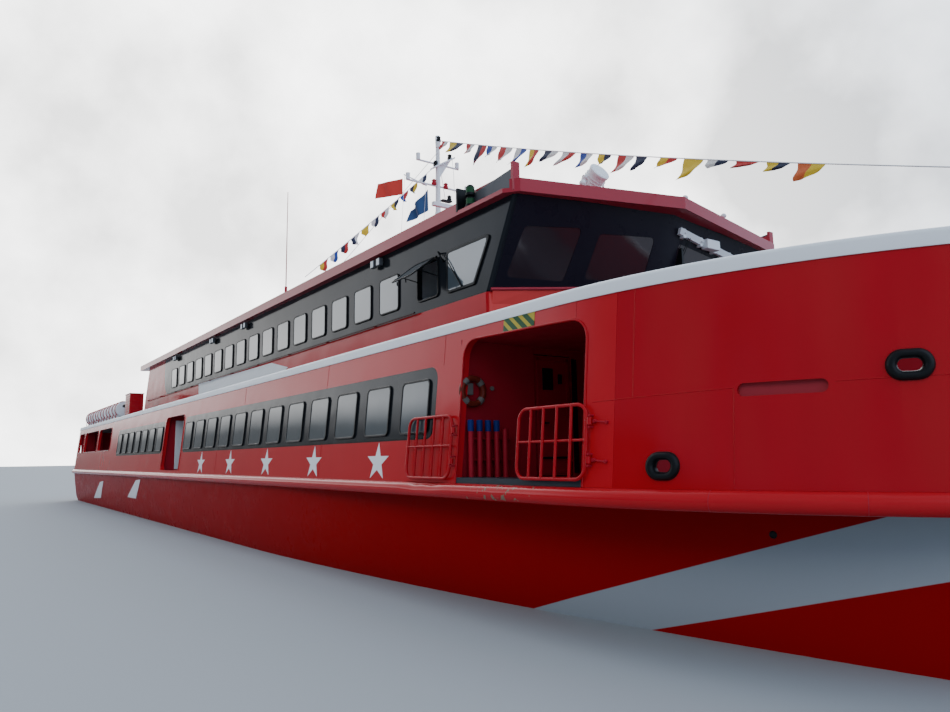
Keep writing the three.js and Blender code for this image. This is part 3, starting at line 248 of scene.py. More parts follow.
def arch(x0, x1, low, high, radius):
    """The outline of a doorway with round upper corners, open at its foot."""
    points = [(x0, low)]
    for cx, start in ((x0 + radius, 180), (x1 - radius, 90)):
        for step in range(ARC_STEPS + 1):
            angle = math.radians(start - 90 * step / ARC_STEPS)
            points.append((cx + radius * math.cos(angle), high - radius + radius * math.sin(angle)))
    return points + [(x1, low)]


def fore_doorway(low):
    """The forward entrance, its head rising a little going aft."""
    aft, fore, high, radius = (FORE_DOOR[key] for key in ("aft", "fore", "high", "round"))
    points = arch(aft, fore, low, high, radius)
    return [(x, z + (0.075 * (fore - x) / (fore - aft) if z > low else 0.0)) for x, z in points]


def corner_curve(start, here, end):
    """The places of a bend that leaves one side of a corner and joins the other."""
    curve = []
    for step in range(6):
        t = step / 5
        curve.append(tuple(start.lerp(here, t).lerp(here.lerp(end, t), t)))
    return curve


def round_corners(points, radius):
    """The same outline with every corner turned into an arc."""
    done = []
    count = len(points)
    for k in range(count):
        before, here, after = (Vector(points[(k + j) % count]) for j in (-1, 0, 1))
        one = (before - here).normalized()
        two = (after - here).normalized()
        reach = radius / max(math.tan(one.angle(two) / 2), 0.05)
        done += corner_curve(here + one * reach, here, here + two * reach)
    return done


def lofted(rings, loop=False, open_section=False):
    """A skin over rings of points, on a grid whose vertices are put in place."""
    rows = list(rings) + ([rings[0]] if loop else [])
    rows = [list(row) + ([] if open_section else [row[0]]) for row in rows]
    bpy.ops.mesh.primitive_grid_add(x_subdivisions=len(rows[0]) - 1, y_subdivisions=len(rows) - 1)
    obj = bpy.context.object
    flat = [value for row in rows for point in row for value in point]
    obj.data.vertices.foreach_set("co", flat)
    in_edit(
        obj,
        lambda: bpy.ops.mesh.remove_doubles(threshold=1e-5),
        lambda: None if open_section else bpy.ops.mesh.select_all(action="SELECT"),
        lambda: None if open_section else bpy.ops.mesh.fill_holes(sides=0),
        lambda: bpy.ops.mesh.select_all(action="SELECT"),
        outward,
    )
    return obj


def tube(points, radius, cyclic=False, sides=3):
    """A bent bar through points."""
    curve = bpy.data.curves.new("bar", "CURVE")
    curve.dimensions = "3D"
    spline = curve.splines.new("POLY")
    spline.points.add(len(points) - 1)
    for point, place in zip(spline.points, points):
        point.co = (*place, 1)
    spline.use_cyclic_u = cyclic
    curve.bevel_depth = radius
    curve.bevel_resolution = sides
    curve.use_fill_caps = not cyclic
    obj = bpy.data.objects.new("bar", curve)
    bpy.context.scene.collection.objects.link(obj)
    pick(obj)
    bpy.ops.object.convert(target="MESH")
    return bpy.context.object


def bent(points, radius):
    """The run of a bar with its corners turned into arcs."""
    done = []
    for k, point in enumerate(points):
        here = Vector(point)
        if k in (0, len(points) - 1):
            done.append(tuple(here))
            continue
        before, after = Vector(points[k - 1]), Vector(points[k + 1])
        reach = min(radius, (before - here).length / 2, (after - here).length / 2)
        start = here + (before - here).normalized() * reach
        end = here + (after - here).normalized() * reach
        done += corner_curve(start, here, end)
    return done


def joined(parts):
    """Joins parts into the first of them."""
    if len(parts) == 1:
        return parts[0]
    bpy.ops.object.select_all(action="DESELECT")
    for part in parts:
        part.select_set(True)
    bpy.context.view_layer.objects.active = parts[0]
    bpy.ops.object.join()
    return parts[0]


def cut(body, tools):
    """Takes the tools out of a body in one exact boolean."""
    tool = joined(tools)
    modify(body, "BOOLEAN", operation="DIFFERENCE", solver="EXACT", object=tool)
    bpy.data.objects.remove(tool)
    return body


def twin(obj, matrix):
    """A copy with its own mesh, moved by a matrix."""
    copy = obj.copy()
    copy.data = obj.data.copy()
    bpy.context.scene.collection.objects.link(copy)
    copy.data.transform(matrix)
    if matrix.determinant() < 0:
        copy.data.flip_normals()
    return copy


def moved(obj, x=0.0, y=0.0):
    """A copy moved along and across."""
    return twin(obj, Matrix.Translation((x, y, 0)))


PORT = Matrix.Scale(-1, 4, (0, 1, 0))


def finish(name, parts, material, body="ferry", replaces=(), smooth=35, ready=False):
    """Joins the parts of a piece, brings it to the model's scale and gives it its finish."""
    obj = joined(list(parts))
    if not ready:
        obj.data.transform(Matrix.Scale(SCALE, 4))
    obj.name = name
    obj.data.name = name
    obj.data.materials.clear()
    obj.data.materials.append(material)
    for polygon in obj.data.polygons:
        polygon.material_index = 0
    pick(obj)
    if smooth:
        bpy.ops.object.shade_smooth_by_angle(angle=math.radians(smooth))
        modify(obj, "WEIGHTED_NORMAL", keep_sharp=True)
    else:
        bpy.ops.object.shade_flat()
    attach(obj, body)
    if replaces:
        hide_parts(*replaces)
    return obj


def both(name, parts, material, body="ferry", replaces=(), smooth=35):
    """A piece on the starboard side and its mirror image to port; {} in a name stands for the side."""
    starboard = joined(list(parts))
    port = twin(starboard, PORT)
    pieces = []
    for side, obj in (("starboard", starboard), ("port", port)):
        pieces.append(finish(
            f"{side}_{name}", [obj], material, body.format(side),
            [node_name.format(side) for node_name in replaces], smooth))
    return pieces


def side_y(z):
    """Half the beam of the leaning side at a height."""
    return HALF_BEAM - (z - DECK) * LEAN


STEM_RUN = BOW_START + BOW_LENGTH * math.pi / 2
FULL_RUN = BOW_START + BOW_LENGTH * math.pi


def skin(run, z, out=0.0):
    """A place on the side: metres run from amidships forward, round the stem and back to port."""
    half = side_y(z)
    if run <= BOW_START:
        return (run, -half - out, z)
    if run >= FULL_RUN:
        return (BOW_START - (run - FULL_RUN), half + out, z)
    angle = (run - BOW_START) / BOW_LENGTH
    normal = Vector((math.sin(angle) / BOW_LENGTH, -math.cos(angle) / half)).normalized()
    x = BOW_START + BOW_LENGTH * math.sin(angle)
    return (x + normal.x * out, -half * math.cos(angle) + normal.y * out, z)


def run_of(x):
    """The run of a place on the starboard side."""
    if x <= BOW_START:
        return x
    return BOW_START + BOW_LENGTH * math.asin(min(1.0, (x - BOW_START) / BOW_LENGTH))


def wrapped(obj):
    """Bends a piece modelled flat, outside towards -Y, on to the side."""
    for vertex in obj.data.vertices:
        vertex.co = skin(vertex.co.x, vertex.co.z, -vertex.co.y)
    return obj


def steps(start, end, pitch):
    """Even stations from one end to the other, about a pitch apart."""
    count = max(1, round(abs(end - start) / pitch))
    return [start + (end - start) * k / count for k in range(count + 1)]


def runs(start, end):
    """Stations along a run, close together only round the bow."""
    stops = [start]
    for low, high, pitch in (
        (-math.inf, BOW_START, 4.0), (BOW_START, FULL_RUN, 0.3), (FULL_RUN, math.inf, 4.0),
    ):
        a, b = max(start, low), min(end, high)
        if b > a:
            stops += steps(a, b, pitch)[1:]
    return stops


# Materials
def srgb(code):
    """A hex colour turned linear."""
    values = [int(code[k:k + 2], 16) / 255 for k in (1, 3, 5)]
    return tuple(v / 12.92 if v <= 0.04045 else ((v + 0.055) / 1.055) ** 2.4 for v in values) + (1.0,)


def node(tree, kind, inputs=None, **settings):
    """Adds a node; an input is a value, a node for its first output, or a (node, output) pair."""
    made = tree.nodes.new(kind)
    for name, value in settings.items():
        setattr(made, name, value)
    for name, value in (inputs or {}).items():
        source, output = value if isinstance(value, tuple) and len(value) == 2 else (value, 0)
        if hasattr(source, "outputs"):
            tree.links.new(source.outputs[output], made.inputs[name])
        else:
            made.inputs[name].default_value = value
    return made


NOISE = "ShaderNodeTexNoise"
RANGE = "ShaderNodeMapRange"
MATH = "ShaderNodeMath"
MIX = "ShaderNodeMix"
# A Mix node's inputs and its output where it mixes colours
FACTOR, UNDER, OVER, MIXED = 0, 6, 7, 2
# Half the width, in the model's metres, over which a painted edge goes from one colour to the other
SOFT = 0.002


def unpainted(name):
    """A new material and its empty tree."""
    material = bpy.data.materials.new(name)
    material.use_nodes = True
    material.node_tree.nodes.clear()
    return material, material.node_tree


def surface(tree, inputs):
    """Ends a material's tree in its one shader."""
    shader = node(tree, "ShaderNodeBsdfPrincipled", inputs)
    node(tree, "ShaderNodeOutputMaterial", {"Surface": shader})


# Ship's enamel, rolled over fair aluminium plate: glossy, a little wavy where the plate pulls between its
# frames, 1.5 m apart on the vessel, with faint vertical streaks of salt and a slow change of tone.
def enamel(name, colour, dull, roughness=0.13, index=1.24, streaks=0.25, wave=0.5, masks=()):
    material, tree = unpainted(name)
    place = (node(tree, "ShaderNodeTexCoord"), "Object")
    slow = node(tree, NOISE, {"Vector": place, "Scale": 0.35, "Detail": 3.0})
    stretched = node(tree, "ShaderNodeMapping", {"Vector": place, "Scale": (6.0, 6.0, 0.35)})
    streak = node(tree, NOISE, {"Vector": stretched, "Scale": 1.0, "Detail": 2.0})
    salt = node(tree, RANGE, {"Value": streak, "From Min": 0.45, "From Max": 0.75, "To Max": streaks})
    base = srgb(colour)
    coats = [(dull, slow), (dull, salt)] + [(paint, mask(tree, place)) for paint, mask in masks]
    for paint, share in coats:
        base = (node(tree, MIX, {FACTOR: share, UNDER: base, OVER: srgb(paint)}, data_type="RGBA"), MIXED)
    fine = node(tree, NOISE, {"Vector": place, "Scale": 5.0, "Detail": 3.0})
    rough = node(tree, RANGE, {"Value": fine, "From Min": 0.3, "From Max": 0.7,
                               "To Min": roughness * 0.8, "To Max": roughness * 1.25})
    plate = node(tree, NOISE, {"Vector": place, "Scale": 1.3, "Detail": 2.0})
    bump = node(tree, "ShaderNodeBump", {"Height": plate, "Strength": wave * 0.2, "Distance": 0.06})
    surface(tree, {"Base Color": base, "Roughness": rough, "Normal": bump, "IOR": index})
    return material


def inside_rounded(centre, half, radius):
    """A mask that is 1 inside an upright rectangle with round corners, in the model's own metres."""
    def mask(tree, place):
        apart = node(tree, "ShaderNodeSeparateXYZ", {0: place})
        squares = []
        for axis, middle, size in zip("XZ", centre, half):
            off = node(tree, MATH, {0: (apart, axis), 1: middle}, operation="SUBTRACT")
            away = node(tree, MATH, {0: off}, operation="ABSOLUTE")
            past = node(tree, MATH, {0: away, 1: size - radius}, operation="SUBTRACT")
            outside = node(tree, MATH, {0: past, 1: 0.0}, operation="MAXIMUM")
            squares.append(node(tree, MATH, {0: outside, 1: 2.0}, operation="POWER"))
        square = node(tree, MATH, dict(enumerate(squares)), operation="ADD")
        distance = node(tree, MATH, {0: square}, operation="SQRT")
        return node(tree, RANGE, {"Value": distance, "From Min": radius + SOFT, "From Max": radius - SOFT})
    return mask


def bow_stripe(tree, place):
    """The white stripe that climbs the outer side of each bow between two slanted edges."""
    apart = node(tree, "ShaderNodeSeparateXYZ", {0: place})
    outboard = node(tree, MATH, {0: (apart, "Y")}, operation="ABSOLUTE")
    inside = node(tree, RANGE, {
        "Value": outboard, "From Min": STEM_Y * SCALE - SOFT, "From Max": STEM_Y * SCALE + SOFT})
    for x, z, slope, sign in ((21.56, 0.98, 0.319, 1), (22.72, 0.59, 0.285, -1)):
        line = node(tree, MATH, {0: (apart, "X"), 1: slope, 2: (z - slope * x) * SCALE},
                    operation="MULTIPLY_ADD")
        over = node(tree, MATH, {0: line, 1: (apart, "Z")}, operation="SUBTRACT")
        share = node(tree, RANGE, {"Value": over, "From Min": -sign * SOFT, "From Max": sign * SOFT})
        inside = node(tree, MATH, {0: inside, 1: share}, operation="MULTIPLY")
    return inside


RED, RED_DULL = "#b41620", "#9e141c"
GREY_BAND = "#1e2125"
EDGE_LINE = "#101214"


def banded(centre, half, radius):
    """A dark grey band with round ends and a thin darker line round its edge."""
    layers = []
    for paint, grow in ((EDGE_LINE, 0.03), (GREY_BAND, 0.0)):
        place, reach = [SCALE * v for v in centre], [SCALE * (v + grow) for v in half]
        layers.append((paint, inside_rounded(place, reach, SCALE * (radius + grow))))
    return layers


lower_bands = banded((8.6, 3.365), (8.5, 0.605), 0.22) + banded((-8.05, 3.365), (4.95, 0.605), 0.22)
upper_band = banded((4.15, 7.81), (16.5, 2.0), 0.9)

# The red of each part: the leaning sides and the deckhouse mirror the sky, the hulls below them hardly do.
# The hulls' red is darker, as painted shade under the rail, and the roof's edge and the wall under the bridge
# windows are paler and brighter, as painted light.
side_red = enamel("side_enamel", "#c21e26", "#ae1c24", index=1.22, masks=lower_bands)
plain_red = enamel("red_enamel", RED, RED_DULL)
house_red = enamel("deckhouse_enamel", "#c21e26", "#ae1c24", index=1.18, masks=upper_band)
# The hulls' red paint is darkened, and their white bow stripe is painted a light grey, both as painted shade
# under the rail.
hull_red = enamel("hull_enamel", "#a01014", "#8c1014", roughness=0.3, index=1.06, streaks=0.1, wave=0.02,
                  masks=[("#9ba1a7", bow_stripe)])
# The red is made paler as painted light for the roof and its pointed edge; the sill bead under the bridge
# windows shares it.
lit_front_red = enamel("front_enamel", "#a83440", "#982c37", index=1.27)
# The wall under the bridge windows is made brighter as painted light.
lit_wall_red = enamel("front_wall_enamel", "#d84a46", "#c6403d", index=1.14)
shade_red = enamel("inner_enamel", "#b02030", "#921a28", roughness=0.4, wave=0.2)


def scuffs(tree, place):
    """Worn places on the rubbing rail beside the forward entrance, where the paint is rubbed off."""
    apart = node(tree, "ShaderNodeSeparateXYZ", {0: place})
    off = node(tree, MATH, {0: (apart, "X"), 1: 19.15 * SCALE}, operation="SUBTRACT")
    away = node(tree, MATH, {0: off}, operation="ABSOLUTE")
    near = node(tree, RANGE, {
        "Value": away, "From Min": 0.1, "From Max": 1.3, "To Min": 0.07, "To Max": -0.3})
    speck = node(tree, NOISE, {"Vector": place, "Scale": 22.0, "Detail": 5.0})
    worn = node(tree, MATH, {0: speck, 1: near}, operation="ADD")
    return node(tree, RANGE, {"Value": worn, "From Min": 0.64, "From Max": 0.68})


# Rail with its worn places, a duller red as painted shade in the recess of the bow, and the other coats:
# white, greys and black, and the small signal colours of plates, lamps and stowage. The shaded white is white
# darkened as painted shade.
rail_red = enamel("rail_enamel", "#bc1c24", "#a81a22", masks=[("#7c6a58", scuffs)])
pocket_shade_red = enamel("pocket_primer", "#a8343c", "#8a2a34", roughness=0.5, wave=0.2)
shaded_white = enamel("aged_white_enamel", "#6f6a66", "#5c5854", roughness=0.5, wave=0.1)
white = enamel("white_enamel", "#f0f1f2", "#dfe2e4", roughness=0.35, wave=0.2)
grey = enamel("grey_enamel", "#4c4f53", "#55585c", roughness=0.35, wave=0.2)
black_gloss = enamel("black_enamel", "#1e1b25", "#1c1922", roughness=0.3, index=1.2, streaks=0.05, wave=0.0)
black = enamel("black_trim", "#101112", "#191a1b", roughness=0.35, streaks=0.2, wave=0.1)
yellow = enamel("yellow_enamel", "#c2ad3e", "#a89636", roughness=0.4, wave=0.1)
green = enamel("green_enamel", "#2c5a38", "#25492f", roughness=0.4, wave=0.1)
blue = enamel("blue_enamel", "#1c2c78", "#18265f", roughness=0.4, wave=0.1)
# The orange is darkened as painted shade for the lifebuoy inside the entrance; the deck lamps share it.
shaded_orange = enamel("orange_enamel", "#6a2418", "#561e14", roughness=0.4, wave=0.1)
steel = enamel("grey_blue_coaming", "#2e353c", "#262c32", roughness=0.4, wave=0.1)
machine = enamel("machinery_enamel", "#4b5154", "#3f4447", roughness=0.4, wave=0.15)


# Tinted safety glass with a faint solar film: dark and mirror smooth, with a slight warp.
def tinted_glass(name, colour, deep, index):
    material, tree = unpainted(name)
    place = (node(tree, "ShaderNodeTexCoord"), "Object")
    slow = node(tree, NOISE, {"Vector": place, "Scale": 0.8, "Detail": 2.0})
    base = node(tree, MIX, {FACTOR: slow, UNDER: srgb(deep), OVER: srgb(colour)}, data_type="RGBA")
    film = node(tree, NOISE, {"Vector": place, "Scale": 5.0, "Detail": 3.0})
    rough = node(tree, RANGE, {"Value": film, "To Min": 0.02, "To Max": 0.12})
    warp = node(tree, "ShaderNodeBump", {"Height": slow, "Strength": 0.05, "Distance": 0.05})
    surface(tree, {"Base Color": (base, MIXED), "Roughness": rough, "Normal": warp, "IOR": index})
    return material


# Three tints of it: blue-grey on the main deck, a lighter film above, and brown-black round the bridge
glass = tinted_glass("saloon_glass", "#3e484d", "#2f393e", 1.5)
upper_glass = tinted_glass("upper_glass", "#545d62", "#444d52", 1.75)
dark_glass = tinted_glass("bridge_glass", "#3a2c31", "#241c21", 1.6)


# Deck coating: epoxy paint with sharp grit rolled in, matt, a little patchy where it has been walked on. The
# grit is drawn about 6 mm coarse, so that it shows.
def deck_coating(name, colour, worn):
    material, tree = unpainted(name)
    place = (node(tree, "ShaderNodeTexCoord"), "Object")
    patch = node(tree, NOISE, {"Vector": place, "Scale": 0.9, "Detail": 5.0})
    grit = node(tree, NOISE, {"Vector": place, "Scale": 160.0, "Detail": 2.0})
    base = node(tree, MIX, {FACTOR: patch, UNDER: srgb(colour), OVER: srgb(worn)}, data_type="RGBA")
    bump = node(tree, "ShaderNodeBump", {"Height": grit, "Strength": 0.5, "Distance": 0.002})
    surface(tree, {"Base Color": (base, MIXED), "Roughness": 0.75, "Normal": bump})
    return material


deck = deck_coating("deck_coating", "#4c5053", "#63676a")


# Propeller bronze: cast and ground, golden brown, with a slight tarnish.
def cast_bronze(name):
    material, tree = unpainted(name)
    place = (node(tree, "ShaderNodeTexCoord"), "Object")
    patch = node(tree, NOISE, {"Vector": place, "Scale": 8.0, "Detail": 4.0})
    base = node(tree, MIX, {FACTOR: patch, UNDER: srgb("#9c7338"), OVER: srgb("#5f4a2c")}, data_type="RGBA")
    surface(tree, {"Base Color": (base, MIXED), "Metallic": 1.0, "Roughness": 0.32})
    return material


bronze = cast_bronze("propeller_bronze")


# Flag bunting: knitted polyester, matt with a slight sheen. Its ribs are drawn 2.6 mm apart, coarser than
# the real thread, so that they show.
def bunting(name, colour):
    material, tree = unpainted(name)
    place = (node(tree, "ShaderNodeTexCoord"), "Object")
    weave = node(tree, "ShaderNodeTexWave", {"Vector": place, "Scale": 120.0})
    shaded = tuple(0.8 * v for v in srgb(colour)[:3]) + (1.0,)
    base = node(tree, MIX, {FACTOR: weave, UNDER: srgb(colour), OVER: shaded}, data_type="RGBA")
    surface(tree, {"Base Color": (base, MIXED), "Roughness": 0.8, "Sheen Weight": 0.3})
    return material


# Camera: low abreast of the bow, looking aft and a little up, with a slight roll
def make_camera():
    data = bpy.data.cameras.new("camera")
    data.sensor_width = 36
    data.lens = 28.04
    data.clip_end = 2000
    camera = bpy.data.objects.new("camera", data)
    bpy.context.scene.collection.objects.link(camera)
    pitch, roll = math.radians(7.822), math.radians(-0.8)
    ahead = Vector((-0.8173, 0.5762, 0))
    right = Vector((ahead.y, -ahead.x, 0))
    up = Vector((0, 0, 1))
    look = ahead * math.cos(pitch) + up * math.sin(pitch)
    top = up * math.cos(pitch) - ahead * math.sin(pitch)
    right_rolled = right * math.cos(roll) + top * math.sin(roll)
    top_rolled = top * math.cos(roll) - right * math.sin(roll)
    turn = Matrix((right_rolled, top_rolled, -look)).transposed().to_4x4()
    camera.matrix_world = Matrix.Translation((14.0, -6.55, 1.2)) @ turn
    bpy.context.scene.camera = camera


# Studio: a pale floor at the waterline, a soft sky brighter astern, and one broad lamp
def make_floor():
    bpy.ops.mesh.primitive_plane_add(size=900)
    floor = bpy.context.object
    floor.name = "floor"
    material, tree = unpainted("floor_finish")
    surface(tree, {"Base Color": srgb("#999d9f"), "Roughness": 0.9, "Specular IOR Level": 0.15})
    floor.data.materials.append(material)


def make_sky():
    """Pale cloud, bright astern and ahead, with a dark card low on the starboard beam and quarter.

    The card keeps the full colour of the lower sides: it shows in the paint and the glass, and not
    behind the ferry. Above it the sky is greyer on the quarter and brighter abeam.
    """
    world = bpy.data.worlds.new("studio")
    bpy.context.scene.world = world
    world.use_nodes = True
    tree = world.node_tree
    tree.nodes.clear()
    place = (node(tree, "ShaderNodeTexCoord"), "Generated")
    astern, beside, ahead = [
        (node(tree, "ShaderNodeVectorMath", {0: place, 1: towards}, operation="DOT_PRODUCT"), "Value")
        for towards in ((-0.95, 0.3, 0.1), (-0.6, -0.8, 0.0), (0.8, 0.45, 0.4))]
    glow = node(tree, RANGE, {"Value": astern, "From Min": 0.3, "From Max": 0.8})
    colour = node(tree, MIX, {FACTOR: glow, UNDER: srgb("#b4c6de"), OVER: srgb("#ffffff")}, data_type="RGBA")
    soft = node(tree, NOISE, {"Vector": place, "Scale": 4.5, "Detail": 5.0})
    cloud = node(tree, RANGE, {
        "Value": soft, "From Min": 0.36, "From Max": 0.64, "To Min": 0.62, "To Max": 1.35})
    apart = node(tree, "ShaderNodeSeparateXYZ", {0: place})
    slope = node(tree, MATH, {0: beside, 1: -0.46, 2: 0.262}, operation="MULTIPLY_ADD")
    above = node(tree, MATH, {0: slope, 1: (apart, "Z")}, operation="ADD")
    low = node(tree, RANGE, {"Value": above, "From Min": -0.016, "From Max": 0.016, "To Min": 0.12})
    direct = (node(tree, "ShaderNodeLightPath"), "Is Camera Ray")
    card = node(tree, MATH, {0: low, 1: direct}, operation="MAXIMUM")
    quarter = node(tree, RANGE, {
        "Value": beside, "From Min": 0.59, "From Max": 0.68, "To Min": 1.0, "To Max": 0.34})
    abeam = node(tree, RANGE, {"Value": beside, "From Min": 0.8, "From Max": 0.92, "To Max": 1.1})
    rise = node(tree, RANGE, {"Value": astern, "From Min": 0.3, "From Max": 0.95, "To Max": 3.6})
    fill = node(tree, RANGE, {"Value": ahead, "From Min": 0.3, "From Max": 0.85, "To Max": 2.1})
    strength = node(tree, MATH, {0: quarter, 1: abeam}, operation="ADD")
    for operation, other in (("MULTIPLY", rise), ("ADD", fill), ("ADD", 0.85), ("MULTIPLY", cloud),
                             ("MULTIPLY", card)):
        strength = node(tree, MATH, {0: strength, 1: other}, operation=operation)
    sky = node(tree, "ShaderNodeBackground", {"Color": (colour, MIXED), "Strength": strength})
    node(tree, "ShaderNodeOutputWorld", {"Surface": sky})


def make_lamp():
    data = bpy.data.lights.new("broad_lamp", "AREA")
    data.energy = 5000
    data.size = 20
    data.color = (1.0, 0.97, 0.93)
    lamp = bpy.data.objects.new("broad_lamp", data)
    bpy.context.scene.collection.objects.link(lamp)
    lamp.visible_glossy = False
    lamp.location = (22, -46, 30)
    lamp.rotation_euler = (Vector((8, 0, 2)) - lamp.location).to_track_quat("-Z", "Y").to_euler()


make_camera()
make_floor()
make_sky()
make_lamp()


# Pieces
def loose_copy(node_name):
    """A CAD node's own shape as one welded mesh, in the model's metres."""
    source = frame["nodes"][node_name]
    obj = source.copy()
    obj.data = source.data.copy()
    for key in list(obj.keys()):
        del obj[key]
    obj.parent = None
    obj.matrix_world = Matrix.Identity(4)
    bpy.context.scene.collection.objects.link(obj)
    pick(obj)
    bpy.ops.mesh.customdata_custom_splitnormals_clear()
    return in_edit(obj, lambda: bpy.ops.mesh.remove_doubles(threshold=1e-5),
                   lambda: bpy.ops.mesh.tris_convert_to_quads())


def smooth_copy(node_name, name, material, angle, width=0.0):
    """A CAD node's own shape with its edges eased and its round faces shaded smooth."""
    obj = loose_copy(node_name)
    if width:
        soften(obj, width)
    body = frame["nodes"][node_name]["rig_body"]
    return finish(name, [obj], material, body, [node_name], angle, ready=True)


# Side plating: flat plates with their doors, windows and bays cut, then bent on to the side
def plating(start, end, low, high, holes):
    stops = runs(start, end)
    heights = steps(low, high, 1.3)
    sheet = lofted([[(s, 0, z) for z in heights] for s in stops], open_section=True)
    modify(sheet, "SOLIDIFY", thickness=PLATE, offset=0)
    for vertex in sheet.data.vertices:
        vertex.co.y = 0.0 if vertex.co.y < 0 else PLATE
    tools = [prism(outline, -0.4, 0.6) for outline in holes]
    if tools:
        cut(sheet, tools)
    return wrapped(sheet)


def window_hole(fore, window):
    """The hole behind a window whose fore edge is given."""
    return rounded(fore - window["width"], fore, window["low"], window["high"], 0.09)


def bay_outline(aft, fore):
    """One of the open bays of the after deck."""
    return rounded(aft, fore, BAY["low"], BAY["high"], BAY["round"])


def make_sides():
    """The two plates of each side, forward and after, with their doorways, window holes and bays."""
    door = fore_doorway(1.95)
    holes = [window_hole(fore, MAIN_WINDOW) for fore in FORE_ROW]
    both("fore_plating", [plating(JOINT + 0.003, run_of(BULWARK), DECK, SHEER, holes + [door])],
         side_red, replaces=["side_fore_{}"])
    door = rounded(*(MID_DOOR[key] for key in ("aft", "fore", "low", "high", "round")))
    bays = [bay_outline(aft, fore) for aft, fore in BAYS]
    holes = [window_hole(fore, MAIN_WINDOW) for fore in AFT_ROW]
    both("after_plating", [plating(STERN, JOINT - 0.003, DECK, SHEER, holes + bays + [door])],
         side_red, replaces=["side_aft_{}"])


DOOR_GATES = {
    "fore": {"hinge": 20.96, "free": 19.56, "low": 2.1, "high": 3.08},
    "aft": {"hinge": 17.84, "free": 16.4, "low": 2.07, "high": 3.1},
}
GATE_PINS = (2.35, 2.85)
GATE_OFF = 0.07


def gate_bar(points, radius, cyclic=False):
    """A bar of a gate, on the leaning plane the gate hangs in."""
    return tube([skin(s, z, GATE_OFF) for s, z in points], radius, cyclic, sides=4)


def make_gates():
    """Each boarding gate: a rounded tube frame, four uprights, one rail and its two hinge knuckles."""
    for name, gate in DOOR_GATES.items():
        hinge, free = run_of(gate["hinge"]), run_of(gate["free"])
        low, high = gate["low"], gate["high"]
        bars = [gate_bar(rounded(free, hinge - 0.05, low, high, 0.17), 0.026, cyclic=True)]
        for k in range(1, 5):
            s = free + (hinge - 0.05 - free) * k / 5
            bars.append(gate_bar([(s, low), (s, high)], 0.022))
        middle = (low + high) / 2 + 0.02
        bars.append(gate_bar([(free, middle), (hinge - 0.05, middle)], 0.02))
        for z in GATE_PINS:
            bars.append(gate_bar([(hinge - 0.06, z), (hinge, z)], 0.02))
            bars.append(gate_bar([(hinge, z - 0.045), (hinge, z + 0.045)], 0.034))
        title = "fore" if name == "fore" else "after"
        body = f"gate_{name}_{{}}"
        both(f"{title}_gate_bars", bars, plain_red, body, [body], smooth=50)
    clamps = []
    for name, gate in DOOR_GATES.items():
        hinge = run_of(gate["hinge"])
        for z in GATE_PINS:
            for dz in (-0.075, 0.075):
                clamps.append(tube([skin(hinge, z + dz, 0.0), skin(hinge, z + dz, GATE_OFF + 0.02)], 0.014))
            if name == "fore":
                near, away = (hinge + 0.05, z), (hinge + 0.24, z - 0.02)
                clamps.append(tube([skin(*near, 0.0), skin(*near, 0.05)], 0.024, sides=4))
                clamps.append(tube([skin(*near, 0.035), skin(*away, 0.035)], 0.009))
                clamps.append(tube([skin(*away, 0.0), skin(*away, 0.04)], 0.02, sides=4))
    both("gate_hinge_clamps", clamps, shade_red)


ENTRANCE_WALL = 17.805
LIFEBUOY = {"x": 17.88, "y": -6.02, "z": 3.5, "major": 0.215, "minor": 0.055}


def make_doorway():
    """The forward entrance's bead and coaming, and the lining of the room behind it."""
    aft, fore = FORE_DOOR["aft"], FORE_DOOR["fore"]
    outline = fore_doorway(DECK)
    rim = []
    for k in range(len(outline) - 1):
        (s0, z0), (s1, z1) = outline[k], outline[k + 1]
        count = max(1, round(math.hypot(s1 - s0, z1 - z0) / 0.3))
        rim += [skin(s0 + (s1 - s0) * j / count, z0 + (z1 - z0) * j / count, 0.004) for j in range(count)]
    rim.append(skin(fore, DECK, 0.004))
    both("doorway_bead", [tube(rim, 0.018)], plain_red, smooth=60)
    section = ((0.003, 2.002), (0.003, 2.088), (-0.5, 2.088), (-0.5, 2.002))
    sill = lofted([[skin(s, z, out) for out, z in section] for s in steps(aft + 0.003, fore - 0.003, 0.4)])
    both("doorway_coaming", [sill], steel)
    x = ENTRANCE_WALL
    lining = [block((x - 0.002, -6.19, 2.02), (x + 0.008, -4.62, 4.37)),
              block((x - 0.002, -4.64, 4.24), (x + 0.008, -3.35, 4.37)),
              block((x, -6.1, 4.355), (21.05, -3.42, 4.374))]
    both("entrance_lining", lining, shade_red)


def make_saloon_doors():
    """The door inside the entrance: its leaf with a raised border, its fittings and its hinge cover."""
    leaf = [block((17.738, -4.595, 2.065), (17.793, -3.755, 4.225), 0.004)]
    y0, y1, z0, z1, border = -4.56, -3.79, 2.1, 4.19, 0.06
    for low, high in (((y0, z0), (y0 + border, z1)), ((y1 - border, z0), (y1, z1)),
                      ((y0, z1 - border), (y1, z1)), ((y0, z0), (y1, z0 + border))):
        leaf.append(block((17.785, *low), (17.8, *high), 0.004))
    both("saloon_door_leaf", leaf, shade_red, "saloon_door_{}", ["saloon_door_{}"])
    fittings = [block((17.73, -4.42, 3.6), (17.806, -4.17, 4.0), 0.01),
                block((17.79, -4.05, 3.72), (17.815, -3.96, 3.9), 0.008),
                rod((17.79, -4.45, 3.0), (17.86, -4.45, 3.0), 0.028, 12),
                rod((17.85, -4.46, 3.0), (17.85, -4.33, 3.0), 0.014, 10),
                block((17.79, -4.5, 2.36), (17.812, -3.86, 2.4), 0.006)]
    both("saloon_door_fittings", fittings, black, "saloon_door_{}")
    x = ENTRANCE_WALL
    cover = [block((x - 0.004, -3.715, 2.1), (x + 0.014, -3.6, 4.2))]
    both("entrance_hinge_cover", cover, black)


